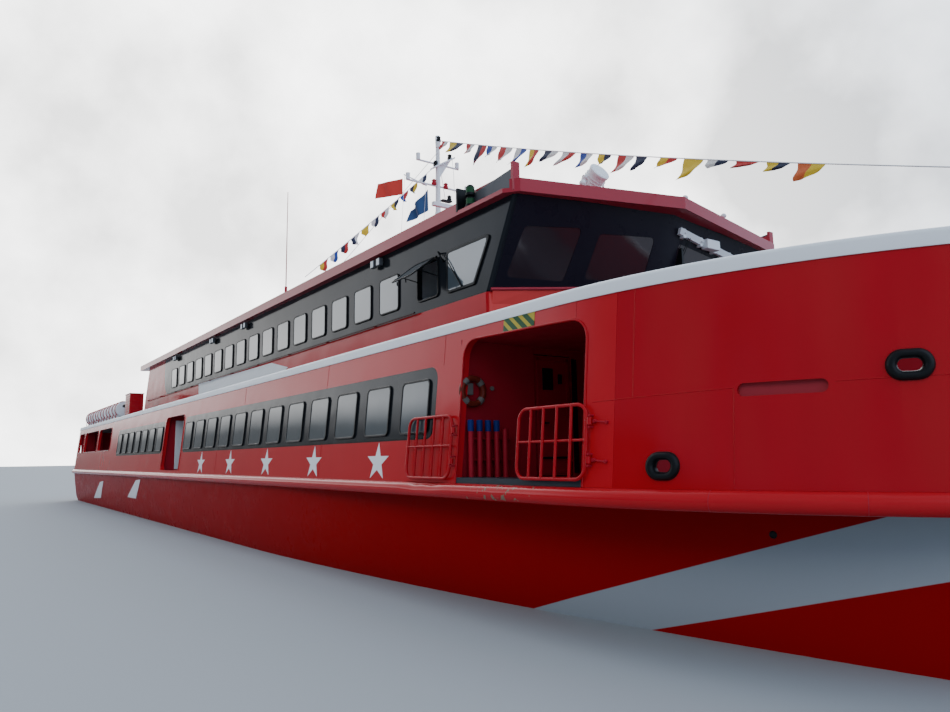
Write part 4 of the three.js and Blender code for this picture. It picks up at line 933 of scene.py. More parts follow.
def make_lifebuoys():
    """The lifebuoy on the entrance's wall with its four bands, and the switches beside it."""
    place = [LIFEBUOY[key] for key in "xyz"]
    major, minor = LIFEBUOY["major"], LIFEBUOY["minor"]
    # The ring's orange and the white of its bands and switches are darkened as painted shade inside the
    # entrance.
    both("entrance_lifebuoy", [ring(place, major, minor, 40, 12, axis=(1, 0, 0))], shaded_orange,
         smooth=60)
    patches = []
    for k in range(4):
        turn = math.radians(45 + 90 * k)
        band = []
        for step in range(5):
            angle = turn + math.radians(-12 + 6 * step)
            away = Vector((0, math.cos(angle), math.sin(angle)))
            centre = Vector(place) + away * major
            turns = (2 * math.pi * j / 12 for j in range(12))
            band.append([centre + (Vector((1, 0, 0)) * math.sin(t) + away * math.cos(t)) * (minor + 0.006)
                         for t in turns])
        patches.append(lofted(band))
    x = ENTRANCE_WALL
    patches.append(block((x, -6.13, 3.44), (x + 0.07, -6.0, 3.64), 0.012))
    patches.append(rod((x, -5.58, 3.57), (x + 0.04, -5.58, 3.57), 0.04, 16, bevel=0.006))
    # The bands and switches take the darkened white, painted shade inside the entrance.
    both("lifebuoy_bands_and_switches", patches, shaded_white, smooth=50)


def make_entrance_posts():
    """The row of posts under the lifebuoy, with their feet, their caps and the two rails behind them."""
    reds, blues = [], []
    for k in range(5):
        y = -6.12 + 0.176 * k
        top = 2.84 if k < 4 else 2.88
        reds.append(rod((17.95, y, 2.02), (17.95, y, top), 0.045, 16))
        reds.append(rod((17.95, y, 2.02), (17.95, y, 2.06), 0.065, 16, bevel=0.006))
        if k < 4:
            blues.append(rod((17.95, y, top - 0.01), (17.95, y, 3.02), 0.055, 16, bevel=0.012))
    for z in (2.35, 2.7):
        reds.append(block((17.81, -6.1, z), (17.92, -5.25, z + 0.03), 0.006))
    both("entrance_posts", reds, shade_red, smooth=50)
    both("entrance_post_caps", blues, blue, smooth=50)


def stadium(s, z, half_s, half_z):
    """The outline of a slot with round ends."""
    count = 16
    points = []
    for side in (1, -1):
        for k in range(count + 1):
            angle = math.radians(90 - 180 * k / count)
            points.append((s + side * (half_s - half_z + half_z * math.cos(angle)),
                           z + side * half_z * math.sin(angle)))
    return points


CHOCK = {"run": 24.7, "z": 3.29, "half": 0.15, "tall": 0.095}
FAIRLEAD = {"run": 22.01, "z": 2.27, "half": 0.135, "tall": 0.1}
POCKET = {"run": 23.41, "z": 3.12, "half": 0.49, "tall": 0.075}


def far(run):
    """The same place on the other side of the stem."""
    return 2 * STEM_RUN - run


def collar(hole):
    """A fat rolled lip round a mooring hole, its outline a slot with round ends."""
    inner = stadium(hole["run"], hole["z"], hole["half"] - 0.03, hole["tall"] - 0.03)
    outer = stadium(hole["run"], hole["z"], hole["half"] + 0.095, hole["tall"] + 0.075)
    rings = []
    for (s0, z0), (s1, z1) in zip(inner, outer):
        row = []
        for k in range(12):
            turn = 2 * math.pi * k / 12
            share = 0.5 * (1 - math.cos(turn))
            row.append((s0 + (s1 - s0) * share, -0.085 * math.sin(turn) + 0.02, z0 + (z1 - z0) * share))
        rings.append(row)
    return wrapped(lofted(rings, loop=True))


SEAM_OUT = -0.001


def seam(points):
    """A ground weld bead along the plating, half sunk in it."""
    path = []
    for (s0, z0), (s1, z1) in zip(points, points[1:]):
        count = max(1, round(abs(s1 - s0) / 0.3))
        path += [skin(s0 + (s1 - s0) * k / count, z0 + (z1 - z0) * k / count, SEAM_OUT) for k in range(count)]
    path.append(skin(*points[-1], SEAM_OUT))
    return tube(path, 0.006, sides=2)


def make_bow():
    """The round bow bulwark with its mooring holes and their lips, its pocket, and the side's weld seams."""
    start = run_of(BULWARK) + 0.003
    holes = []
    for hole in (CHOCK, FAIRLEAD, POCKET):
        for run in (hole["run"], far(hole["run"])):
            holes.append(stadium(run, hole["z"], hole["half"], hole["tall"]))
    finish("bow_plating", [plating(start, far(start), DECK, SHEER, holes)], plain_red,
           replaces=["bow_bulwark"], smooth=35)
    both("mooring_chock_collars", [collar(CHOCK), collar(FAIRLEAD)], black, smooth=60)
    # The pocket's duller red is painted shade in the recess.
    slot = stadium(POCKET["run"], POCKET["z"], POCKET["half"] + 0.02, POCKET["tall"] + 0.02)
    both("bow_pocket", [wrapped(prism(slot, 0.06, 0.1))], pocket_shade_red)
    seams = [
        [(21.58, 3.13), (21.58, 4.5)],
        [(22.88, 2.02), (22.88, 3.14)],
        [(20.95, 3.1), (POCKET["run"] - 0.53, 3.15)],
        [(POCKET["run"] + 0.56, 3.16), (run_of(26.9), 3.2)],
        [(20.6, 4.29), (20.6, 4.52)],
        [(17.3, 3.99), (17.3, 4.52)],
        [(12.4, 4.0), (12.4, 4.52)],
        [(6.6, 4.0), (6.6, 4.52)],
        [(12.4, 2.02), (12.4, 2.75)],
        [(4.4, 2.02), (4.4, 2.75)],
    ]
    both("weld_seams", [seam(points) for points in seams], plain_red, smooth=60)


# The rubbing rail's middle height, and its dents as their run, depth and length
RAIL_Z = 1.875
RAIL_DENTS = [(16.67, 0.035, 0.2), (17.23, 0.03, 0.18)]


def make_rail_and_band():
    """The half-round rubbing rail with its butt joints and a dent, and the white band under the sheer."""
    start, end = STERN, far(STERN)
    near = [round(0.25 * k, 2) for k in range(48, 78)]
    stops = sorted(set(runs(start, end) + near))
    rings = []
    for s in stops:
        dent = sum(deep * math.exp(-((s - run) / wide) ** 2) for run, deep, wide in RAIL_DENTS)
        section = [(-0.02, 1.751)]
        for a in range(-90, 91, 15):
            angle = math.radians(a)
            sink = dent * max(0.0, math.sin(angle + 0.6))
            section.append((0.119 * math.cos(angle) - sink, RAIL_Z + 0.124 * math.sin(angle) - 0.4 * sink))
        section.append((-0.02, 1.999))
        rings.append([skin(s, z, out) for out, z in section])
    finish("rubbing_rail", [lofted(rings)], rail_red, replaces=["rub_rail"], smooth=50)
    joints = []
    for run in (17.96, 8.0, -1.0, -10.0, 22.62, 24.24):
        path = []
        for a in range(-90, 91, 15):
            angle = math.radians(a)
            path.append(skin(run, RAIL_Z + 0.118 * math.sin(angle), 0.115 * math.cos(angle)))
        joints.append(tube(path, 0.006))
    both("rail_joints", joints, shade_red)
    section = [(-0.15, SHEER), (0.018, SHEER), (0.022, SHEER + 0.02), (0.022, SHEER_TOP - 0.06),
               (0.012, SHEER_TOP - 0.025), (-0.01, SHEER_TOP - 0.004), (-0.04, SHEER_TOP), (-0.15, SHEER_TOP)]
    band = lofted([[skin(s, z, out) for out, z in section] for s in runs(start, end)])
    finish("white_sheer_band", [band], white, replaces=["sheer_band"], smooth=50)


# Hulls: sections from the deck edge down round the keel and up inside. Each level is a height, the half
# breadths of the hull's outer and inner side there, and where its stem is.
LEVELS = [
    (1.7497, 6.38, 2.7, 25.3), (1.0, 6.29, 2.7, 25.2), (0.3, 6.18, 2.76, 25.0),
    (-0.4, 5.98, 2.95, 24.7), (-1.1, 5.38, 3.5, 24.2), (-1.6, 4.75, 4.15, 23.4),
]
STEM_HALF = 0.045


def hull_place(level, t, side):
    """A place on a level of the hull, t of the way from the stern to the stem, on its outer or inner side."""
    z, outer, inner, stem = level
    x = STERN + (stem - STERN) * t
    entry = max(0.0, (t - 0.68) / 0.32)
    shrink = 1 - entry ** (2.6 if z > 0 else 1.8)
    centre = STEM_Y + ((outer + inner) / 2 - STEM_Y) * (1 - entry)
    half = STEM_HALF + ((outer - inner) / 2 - STEM_HALF) * shrink
    along = max(0.0, (x - BOW_START) / BOW_LENGTH)
    limit = HALF_BEAM * math.sqrt(max(0.0, 1 - along * along)) - 0.025
    y = max(centre + side * half, inner)
    lift = max(0.0, 1 - t / 0.3) * 1.3 * max(0.0, -z / 1.6) ** 1.5
    return (x, -min(y, max(limit, STEM_Y + STEM_HALF)), z + lift)


def make_hulls():
    """Each hull's plating, the two white bars on its quarter and its outlet."""
    shares = steps(0, 0.6, 0.05) + steps(0.6, 0.9, 0.02)[1:] + steps(0.9, 1.0, 0.0085)[1:]
    rings = [[hull_place(level, t, 1) for level in LEVELS]
             + [hull_place(level, t, -1) for level in reversed(LEVELS)] for t in shares]
    # The hulls' darker red and grey bow stripe are painted shade.
    both("hull_plating", [lofted(rings)], hull_red, replaces=["hull_{}"], smooth=30)
    plates = []
    for bar in AFTER_BARS:
        rows = []
        for k in range(9):
            share = k / 8
            edges = ([bar[a][j] + (bar[b][j] - bar[a][j]) * share for j in (0, 1)]
                     for a, b in ((0, 3), (1, 2)))
            rows.append([bar_place(*place) for place in edges])
        plate = lofted(rows, open_section=True)
        modify(plate, "SOLIDIFY", thickness=0.012, offset=0)
        plates.append(plate)
    both("after_stripes", plates, white)
    both("hull_outlet", hull_outlet(), black, smooth=60)


# Two slanted white bars on each quarter: their corners as (x, z), the lower edge first
AFTER_BARS = [
    [(-19.9, 0.42), (-17.5, 0.5), (-16.1, 1.44), (-17.2, 1.37)],
    [(-9.75, 0.82), (-7.85, 0.82), (-6.56, 1.67), (-7.5, 1.63)],
]


def bar_place(x, z):
    """A place just outside the hull's outer side, over and under its knuckle."""
    outer = 6.29 + (z - 1.0) * (0.12 if z > 1 else 0.157)
    return (x, -outer - 0.008, z)


def hull_outlet():
    """A round outlet in the outer bow below the rail."""
    t = (22.54 - STERN) / (25.26 - STERN)
    low, high = (hull_place(LEVELS[k], t, 1) for k in (1, 0))
    share = (1.42 - low[2]) / (high[2] - low[2])
    centre = Vector(low).lerp(Vector(high), share)
    fore = Vector(hull_place(LEVELS[0], t + 0.004, 1))
    out = (fore - Vector(high)).cross(Vector(high) - Vector(low)).normalized()
    out = out if out.y < 0 else -out
    return [ring(centre, 0.038, 0.01, 20, 8, axis=out),
            rod(centre - out * 0.04, centre + out * 0.004, 0.036, 16)]


# Windows: a black frame standing off the wall with a pane almost flush in it
def window_unit(width, low, high, off):
    """A frame and its pane, flat, its fore edge at x = 0 and its outside towards -Y."""
    lip = 0.032
    x0, x1 = -width - lip, lip
    outline = rounded(x0, x1, low - lip, high + lip, 0.12)
    hole = rounded(x0 + 0.04, x1 - 0.04, low - lip + 0.04, high + lip - 0.04, 0.085)
    frame_part = cut(prism(outline, -off, 0.03), [prism(hole, -0.2, 0.2)])
    soften(frame_part, 0.006, 1)
    pane = prism(rounded(x0 + 0.034, x1 - 0.034, low - lip + 0.034, high + lip - 0.034, 0.09),
                 -off + 0.01, -off + 0.03)
    return frame_part, pane


def window_row(title, window, off, fores, pane_glass, put):
    """A row of equal windows, each copied from one unit to its fore edge and put on its wall."""
    frames, panes = [], []
    unit = window_unit(window["width"], window["low"], window["high"], off)
    for fore in fores:
        for part, bucket in zip(unit, (frames, panes)):
            bucket.append(put(part, fore))
    for part in unit:
        bpy.data.objects.remove(part)
    both(f"{title}_window_frames", frames, black)
    both(f"{title}_window_panes", panes, pane_glass)


def make_windows():
    window_row("saloon", MAIN_WINDOW, 0.036, FORE_ROW + AFT_ROW, glass,
               lambda part, fore: wrapped(moved(part, x=fore)))
    window_row("upper", UPPER_WINDOW, 0.04, UPPER_ROW, upper_glass,
               lambda part, fore: moved(part, x=fore, y=-HOUSE_Y))


HOPPER = {"aft": 13.24, "fore": 14.13, "low": 6.06, "high": 6.93}


def make_bridge_side_windows():
    """The bridge's open hopper sash with its stays, and its quarter light with a wiper and a grip."""
    aft, fore, low, high = (HOPPER[key] for key in ("aft", "fore", "low", "high"))
    unit = window_unit(fore - aft, low, high, 0.04)
    bpy.data.objects.remove(unit[1])
    frames = [moved(unit[0], x=fore, y=-HOUSE_Y)]
    bpy.data.objects.remove(unit[0])
    outer = round_corners([(14.5, 6.01), (15.575, 6.01), (16.18, 6.98), (14.5, 6.98)], 0.1)
    inner = round_corners([(14.56, 6.07), (15.54, 6.07), (16.07, 6.92), (14.56, 6.92)], 0.07)
    ring_part = cut(prism(outer, -0.04, 0.02), [prism(inner, -0.2, 0.2)])
    frames.append(moved(soften(ring_part, 0.006, 1), y=-HOUSE_Y))
    bpy.data.objects.remove(ring_part)
    both("bridge_side_frames", frames, black)
    pane = prism(round_corners([(14.55, 6.06), (15.55, 6.06), (16.08, 6.93), (14.55, 6.93)], 0.07),
                 -HOUSE_Y - 0.03, -HOUSE_Y - 0.012)
    hinge = Matrix.Translation((0, -HOUSE_Y - 0.05, high + 0.02))
    swing = hinge @ Matrix.Rotation(math.radians(-52), 4, "X") @ hinge.inverted()
    sash = cut(prism(rounded(aft, fore, low, high, 0.1), -HOUSE_Y - 0.075, -HOUSE_Y - 0.045),
               [prism(rounded(aft + 0.05, fore - 0.05, low + 0.05, high - 0.05, 0.07), -5.5, -3.5)])
    light = prism(rounded(aft + 0.045, fore - 0.045, low + 0.045, high - 0.045, 0.07),
                  -HOUSE_Y - 0.065, -HOUSE_Y - 0.055)
    for part in (sash, light):
        part.data.transform(swing)
    stays = [sash]
    for x in (aft + 0.03, fore - 0.03):
        foot = swing @ Vector((x, -HOUSE_Y - 0.05, low + 0.3))
        stays.append(rod((x, -HOUSE_Y, low + 0.45), foot, 0.012, 10))
        pin = [(x + reach, -HOUSE_Y - 0.05, high + 0.02) for reach in (-0.03, 0.03)]
        stays.append(rod(*pin, 0.022, 10))
    for x in (aft + 0.25, fore - 0.25):
        catch = swing @ Vector((x, -HOUSE_Y - 0.03, low + 0.02))
        stays.append(rod(catch, catch + Vector((0.0, 0.01, -0.09)), 0.014, 8))
    stays.append(tube([(14.3, -HOUSE_Y, 6.95), (14.42, -HOUSE_Y - 0.06, 6.93), (14.62, -HOUSE_Y - 0.065, 6.7),
                       (14.9, -HOUSE_Y - 0.055, 6.34)], 0.012))
    stays.append(rod((14.8, -HOUSE_Y - 0.05, 6.46), (15.12, -HOUSE_Y - 0.05, 6.06), 0.018, 8))
    grip = [(14.2, -HOUSE_Y, 7.0), (14.28, -HOUSE_Y - 0.12, 7.02), (14.4, -HOUSE_Y - 0.12, 6.86),
            (14.36, -HOUSE_Y, 6.78)]
    stays.append(tube(bent(grip, 0.05), 0.02))
    both("hopper_sash", stays, black, smooth=40)
    both("bridge_side_panes", [pane, light], upper_glass, replaces=["glazing_quarter_{}"])


def make_floodlights():
    """Pairs of floodlights under the eave."""
    housings, lenses = [], []
    for x in (-9.8, -3.5, 0.65, 11.3):
        for shift in (-0.16, 0.16):
            z = ROOF - 0.16
            s = x + shift
            housings.append(block((s - 0.09, -4.46, z - 0.1), (s + 0.09, -4.35, z + 0.1), 0.015))
            housings.append(rod((s, -4.36, z), (s, -4.29, z), 0.025, 10))
            lenses.append(block((s - 0.075, -4.466, z - 0.085), (s + 0.075, -4.452, z + 0.085), 0.004))
    both("eave_floodlights", housings, grey)
    both("eave_floodlight_lenses", lenses, white)


def roof_under(y):
    """The height of the cambered roof's underside."""
    return ROOF + CAMBER * (1 - abs(y) / ROOF_Y)


def front_x(y, z):
    """The outer surface of the wheelhouse front."""
    share = max(0.0, z - SILL) / (ROOF - SILL)
    push = (APEX + (APEX_TOP - APEX) * share) * (1 - abs(y) / FRONT_HALF)
    return HOUSE_FRONT + RAKE * share + push


def sill_z(y):
    """The height of the black front's lower edge."""
    return SILL + 0.12 + 0.09 * (INNER_HALF - abs(y))


# Front windows as (y, z) corners, starboard side; the outboard one first
FRONT_WINDOWS = [
    [(-3.99, 6.08), (-2.59, 6.12), (-2.43, 7.2), (-3.85, 7.06)],
    [(-2.09, 6.2), (-0.5, 6.33), (-0.39, 7.27), (-1.95, 7.15)],
]


def on_front(obj):
    """Bends a piece modelled flat, its outside towards +X, on to the two facets of the front."""
    for vertex in obj.data.vertices:
        depth, y, z = vertex.co
        vertex.co = (front_x(y, z) + depth, y, z)
    return obj


def front_sheet(low, high, depth, thick):
    """A grid over the whole front between two heights given for each place across it."""
    stations = steps(-FRONT_HALF, 0, 0.35) + steps(0, FRONT_HALF, 0.35)[1:]
    sheet = lofted([[(depth, y, low(y) + (high(y) - low(y)) * k / 8) for k in range(9)] for y in stations],
                   open_section=True)
    modify(sheet, "SOLIDIFY", thickness=thick, offset=0)
    for vertex in sheet.data.vertices:
        vertex.co.x = depth if vertex.co.x > depth else depth - thick
    return sheet


def front_outlines(grow=0.0):
    """The outlines of all four front windows, each corner rounded."""
    outlines = []
    for corners in FRONT_WINDOWS:
        middle = sum((Vector(corner) for corner in corners), Vector((0, 0))) / 4
        grown = []
        for corner in corners:
            grown.append(tuple(corner[k] + math.copysign(grow, corner[k] - middle[k]) for k in (0, 1)))
        rounded_one = round_corners(grown, 0.12)
        outlines.append(rounded_one)
        outlines.append([(-y, z) for y, z in reversed(rounded_one)])
    return outlines


def make_wheelhouse():
    """The gloss black front with its two facets and four frameless windows."""
    front = front_sheet(sill_z, lambda y: roof_under(y) - 0.004, 0.0, 0.08)
    cut(front, [prism(outline, -0.4, 0.4, axis="x") for outline in front_outlines()])
    finish("bridge_front", [on_front(front)], black_gloss, replaces=["wheelhouse_front"])
    panes = []
    for outline in front_outlines(0.03):
        pane = front_sheet(sill_z, lambda y: roof_under(y) - 0.02, -0.012, 0.02)
        tool = prism(outline, -0.4, 0.4, axis="x")
        modify(pane, "BOOLEAN", operation="INTERSECT", solver="EXACT", object=tool)
        bpy.data.objects.remove(tool)
        panes.append(on_front(pane))
    finish("bridge_window_panes", panes, dark_glass, replaces=["glazing_wheelhouse"])
    edge = [(front_x(y, sill_z(y)) - 0.01, y, sill_z(y) - 0.03) for y in steps(-4.25, 4.25, 0.25)]
    finish("bridge_sill_bead", [tube(edge, 0.035)], lit_front_red, smooth=60)
    make_wiper()


def make_wiper():
    """The long wiper's rail over the inboard port window, its motor and its two arms."""
    def place(y, z, depth):
        return (front_x(y, z) + depth, y, z)

    left, right = (0.27, 7.5), (2.62, 7.24)
    section = ((-0.07, 0.02), (0.07, 0.02), (0.07, 0.1), (-0.07, 0.1))
    bars = [lofted([[place(y, z + dz, depth) for dz, depth in section] for y, z in (left, right)])]
    for share in (0.08, 0.38, 0.62, 0.92):
        y, z = (left[k] + (right[k] - left[k]) * share for k in (0, 1))
        bars.append(block(place(y - 0.05, z - 0.11, -0.01), place(y + 0.05, z + 0.11, 0.05), 0.01))
        bars.append(rod(place(y, z, 0.09), place(y, z, 0.125), 0.022, 8))
    y, z = 1.5, 7.37
    bars.append(block(place(y - 0.24, z - 0.12, 0.04), place(y + 0.24, z + 0.12, 0.19), 0.03))
    finish("wiper_rail", bars, white)
    arms = []
    for top, foot in (((0.62, 7.4), (0.5, 6.42)), ((2.3, 7.22), (2.24, 6.3))):
        for shift in (0.0, 0.06):
            arms.append(rod(place(top[0] + shift, top[1], 0.1), place(foot[0] + shift, foot[1] + 0.45, 0.07),
                            0.009, 8))
        arms.append(block(place(foot[0] - 0.02, foot[1], 0.02), place(foot[0] + 0.05, foot[1] + 0.75, 0.06),
                          0.008))
    finish("wiper_arms", arms, black)


# Side lamps: a two-tier lamp before a black board, in a recess of the roof's edge
SIDE_LAMP = {"aft": 15.25, "fore": 16.95, "ledge": 7.67, "fin": 8.11, "top": 8.22, "y": 4.25}


def make_side_lamps():
    """The green and the red side lamp, each before its board and its grey screen."""
    aft, fore, ledge, fin, y = (SIDE_LAMP[key] for key in ("aft", "fore", "ledge", "fin", "y"))
    slope = [(aft, ledge), (fore, ledge), (fore, fin + 0.06), (aft + 0.25, ledge + 0.37), (aft, ledge + 0.37)]
    both("lamp_screen", [prism(slope, -y - 0.006, -y + 0.002)], grey)
    board = block((aft - 0.05, -4.53, ledge - 0.02), (aft + 0.012, -y + 0.02, fin + 0.07), 0.006)
    both("lamp_board", [board], black)
    lamps = {"starboard": green, "port": plain_red}
    x, centre = aft + 0.3, -y - 0.14
    bodies, lenses = [], []
    for tier in (0, 1):
        low = ledge + 0.02 + 0.25 * tier
        bodies.append(rod((x, centre, low), (x, centre, low + 0.06), 0.105, 20, bevel=0.008))
        lenses.append(rod((x, centre, low + 0.05), (x, centre, low + 0.19), 0.088, 20))
        for k in range(4):
            lenses.append(ring((x, centre, low + 0.068 + 0.034 * k), 0.086, 0.011, 20, 6))
        bodies.append(rod((x, centre, low + 0.18), (x, centre, low + 0.235), 0.1, 20, tip=0.06, bevel=0.008))
    bodies.append(rod((x, centre, ledge - 0.02), (x, centre, ledge + 0.03), 0.12, 20))
    both("side_lamp_bodies", bodies, black)
    starboard = joined(lenses)
    port = twin(starboard, PORT)
    for side, obj in (("starboard", starboard), ("port", port)):
        finish(f"{side}_side_lamp_lenses", [obj], lamps[side], smooth=60)


def make_searchlight():
    """A boxy white lamp tilted up on its yoke, on the roof's front edge."""
    x, y = 16.45, -1.6
    foot = roof_under(y) + ROOF_EDGE
    parts = [rod((x, y, foot - 0.02), (x, y, foot + 0.05), 0.17, 24, bevel=0.01),
             rod((x, y, foot), (x, y, foot + 0.2), 0.07, 16)]
    centre = Vector((x, y, foot + 0.57))
    yoke = bent([(x, y - 0.29, foot + 0.57), (x, y - 0.29, foot + 0.18), (x, y + 0.29, foot + 0.18),
                 (x, y + 0.29, foot + 0.57)], 0.08)
    parts.append(tube(yoke, 0.028))
    for side in (-1, 1):
        near, away = (centre + Vector((0, side * reach, 0)) for reach in (0.25, 0.32))
        parts.append(rod(near, away, 0.05, 14))
    tilt = Matrix.Translation(centre) @ Matrix.Rotation(math.radians(-32), 4, "Y")
    lamp = [
        rod((-0.2, 0, 0), (0.2, 0, 0), 0.235, 28, bevel=0.025),
        rod((0.19, 0, 0), (0.25, 0, 0), 0.25, 28, bevel=0.01),
        rod((-0.25, 0, 0), (-0.19, 0, 0), 0.16, 24, tip=0.22, bevel=0.01),
        block((-0.16, -0.04, 0.22), (0.1, 0.04, 0.29), 0.015),
    ]
    for k in range(4):
        lamp.append(ring((-0.13 + 0.07 * k, 0, 0), 0.235, 0.012, 28, 6, axis=(1, 0, 0)))
    for part in lamp:
        part.data.transform(tilt)
    finish("roof_searchlight", parts + lamp, white, replaces=["searchlight"], smooth=40)
    lens = rod((0.235, 0, 0), (0.256, 0, 0), 0.215, 28)
    lens.data.transform(tilt)
    finish("searchlight_lens", [lens], white)


def make_roof():
    """The roof, a true plane over each half of its pointed front edge, and the lamps on that edge."""
    # The roof and its fascia take the paler red, painted light.
    smooth_copy("roof", "cambered_roof", lit_front_red, 0)
    rings = []
    for y, push in ((-ROOF_CORNER_Y, 0.0), (0.0, ROOF_APEX), (ROOF_CORNER_Y, 0.0)):
        x = ROOF_CORNER + push + PROUD
        low, high = roof_under(y) - PROUD, roof_under(y) + ROOF_EDGE + PROUD
        rings.append([(17.0, y, low), (x, y, low), (x, y, high), (17.0, y, high)])
    finish("pointed_roof_fascia", [lofted(rings)], lit_front_red, smooth=0)
    parts = []
    for x, y in ((17.45, 0.3), (17.3, 1.9), (17.12, -2.6)):
        z = roof_under(y) + ROOF_EDGE
        parts.append(rod((x, y, z - 0.01), (x, y, z + 0.1), 0.04, 14))
        parts.append(ball((x, y, z + 0.13), 0.07, (1, 1, 0.9)))
    finish("roof_edge_lamps", parts, white, smooth=50)


def star(s, z, tall, wide):
    """The outline of a five-pointed star of a height and a width."""
    points = []
    for k in range(10):
        angle = math.radians(90 + 36 * k)
        reach = 1.0 if k % 2 == 0 else 0.382
        points.append((s + reach * math.cos(angle) * wide / 1.902,
                       z - 0.045 * tall + reach * math.sin(angle) * tall / 1.809))
    return points


def make_stars():
    """Five stars in a row along each side."""
    stars = [wrapped(prism(star(15.15 - 3.1 * k, 2.37, 0.68, 0.86), -0.004, 0.002)) for k in range(5)]
    both("five_stars", stars, white)


def make_hazard_plate():
    """The yellow plate over the entrance with its slanted green stripes."""
    aft, fore, low, high = 18.97, 19.72, 4.325, 4.54
    both("hazard_plate", [wrapped(prism(rounded(aft, fore, low, high, 0.01), -0.006, 0.002))],
         yellow)
    slants = []
    for k in range(4):
        x = 19.0 + 0.225 * k
        slant = prism([(x, 4.32), (x + 0.125, 4.32), (x - 0.155, 4.545), (x - 0.28, 4.545)], -0.009, 0.0)
        panel = block((aft, -0.02, low), (fore, 0.02, high))
        modify(slant, "BOOLEAN", operation="INTERSECT", solver="EXACT", object=panel)
        bpy.data.objects.remove(panel)
        slants.append(wrapped(slant))
    both("hazard_stripes", slants, green)


def make_house_panel():
    """The plain white panel on the deckhouse, pointed at its fore end."""
    pointed = [(-5.7, 5.3), (4.6, 5.3), (4.95, 5.4), (3.44, 5.71), (-5.75, 5.81)]
    panel = prism(pointed, -HOUSE_Y - 0.012, -HOUSE_Y + 0.005)
    both("house_panel", [panel], white)


# Dressing lines of small signal flags. A flag is given by the two places along the line where it is held,
# how far its foot is blown back along the line, how far it drops, and the colours of its two halves.
BLUE, NAVY, YELLOW, ORANGE, CREAM, SCARLET = "#23439a", "#1a2340", "#e3c02a", "#d2632a", "#e8e6e0", "#c22a22"
FORWARD_FLAGS = [
    (0.012, 0.032, 0.1, 0.3, SCARLET, CREAM), (0.037, 0.078, 0.1, 0.36, YELLOW, NAVY),
    (0.087, 0.11, 0.0, 0.34, SCARLET, CREAM), (0.119, 0.143, 0.12, 0.66, NAVY, SCARLET),
    (0.145, 0.17, 0.05, 0.36, BLUE, CREAM), (0.178, 0.208, 0.12, 0.5, SCARLET, CREAM),
    (0.217, 0.241, 0.25, 0.5, CREAM, BLUE), (0.248, 0.268, 0.06, 0.53, YELLOW, SCARLET),
    (0.281, 0.31, 0.2, 0.33, NAVY, CREAM), (0.318, 0.344, 0.32, 0.4, CREAM, SCARLET),
    (0.353, 0.376, 0.08, 0.4, BLUE, CREAM), (0.386, 0.408, 0.0, 0.3, YELLOW, NAVY),
    (0.42, 0.446, 0.16, 0.46, SCARLET, CREAM), (0.449, 0.467, 0.12, 0.36, NAVY, NAVY),
    (0.486, 0.511, 0.2, 0.27, YELLOW, SCARLET), (0.52, 0.546, 0.14, 0.5, YELLOW, YELLOW),
    (0.551, 0.578, 0.04, 0.2, CREAM, NAVY), (0.587, 0.614, 0.1, 0.16, SCARLET, SCARLET),
    (0.622, 0.648, 0.02, 0.2, YELLOW, NAVY), (0.655, 0.683, 0.06, 0.36, ORANGE, YELLOW),
]
AFTER_COLOURS = [
    (NAVY, CREAM), (YELLOW, NAVY), (SCARLET, BLUE), (NAVY, YELLOW), (CREAM, SCARLET), (NAVY, CREAM),
    (YELLOW, YELLOW), (CREAM, NAVY), (SCARLET, NAVY), (BLUE, CREAM), (SCARLET, YELLOW),
]
AFTER_FLAGS = [(0.05 + 0.078 * k, 0.115 + 0.078 * k, 0.04, 0.42, *pair)
               for k, pair in enumerate(AFTER_COLOURS)]
MAST_HEAD = (7.4, 0, 13.3)
BOW_STAFF = (27.25, 0, 5.5)


def sagging(start, end, dip, t):
    """A place along a line that hangs slightly between its two ends."""
    place = Vector(start).lerp(Vector(end), t)
    place.z -= dip * 4 * t * (1 - t)
    return place


def flag_half(line, flag, left, right, phase):
    """Part of a flag's width, hung on its line: blown back, narrower towards its foot and rippled."""
    t0, t1, sweep, drop = flag[:4]
    start, end = sagging(*line, t0), sagging(*line, t1)
    along = (Vector(line[1]) - Vector(line[0])).normalized()
    rows = []
    for j in range(9):
        down = j / 8
        row = []
        for k in range(5):
            u = left + (right - left) * k / 4
            width = 1 - 0.6 * down ** 1.5
            place = start + (end - start) * (u * width) - along * (sweep * down ** 1.6)
            ripple = 0.035 * math.sin(6.0 * down + 4.0 * u + phase) * down
            sag = drop * down * (1.0 + 0.25 * (0.5 - u))
            row.append(tuple(place + Vector((ripple, ripple - 0.25 * sag, -sag))))
        rows.append(row)
    return lofted(rows, open_section=True)


def dressing_line(name, start, end, dip, flags, seed):
    """A line of flags: the line itself, and its flags by colour."""
    chance = random.Random(seed)
    line = (start, end, dip)
    finish(f"{name}_line", [tube([sagging(*line, k / 40) for k in range(41)], 0.012)], white)
    groups = {}
    for flag in flags:
        phase = chance.uniform(0, 6)
        left, right = flag[4:]
        if left == right:
            groups.setdefault(left, []).append(flag_half(line, flag, 0.0, 1.0, phase))
            continue
        groups.setdefault(left, []).append(flag_half(line, flag, 0.0, 0.5, phase))
        groups.setdefault(right, []).append(flag_half(line, flag, 0.5, 1.0, phase))
    for index, (colour, pieces) in enumerate(groups.items()):
        piece = finish(f"{name}_flags_{index + 1}", pieces, bunting(f"{name}_bunting_{index + 1}", colour))


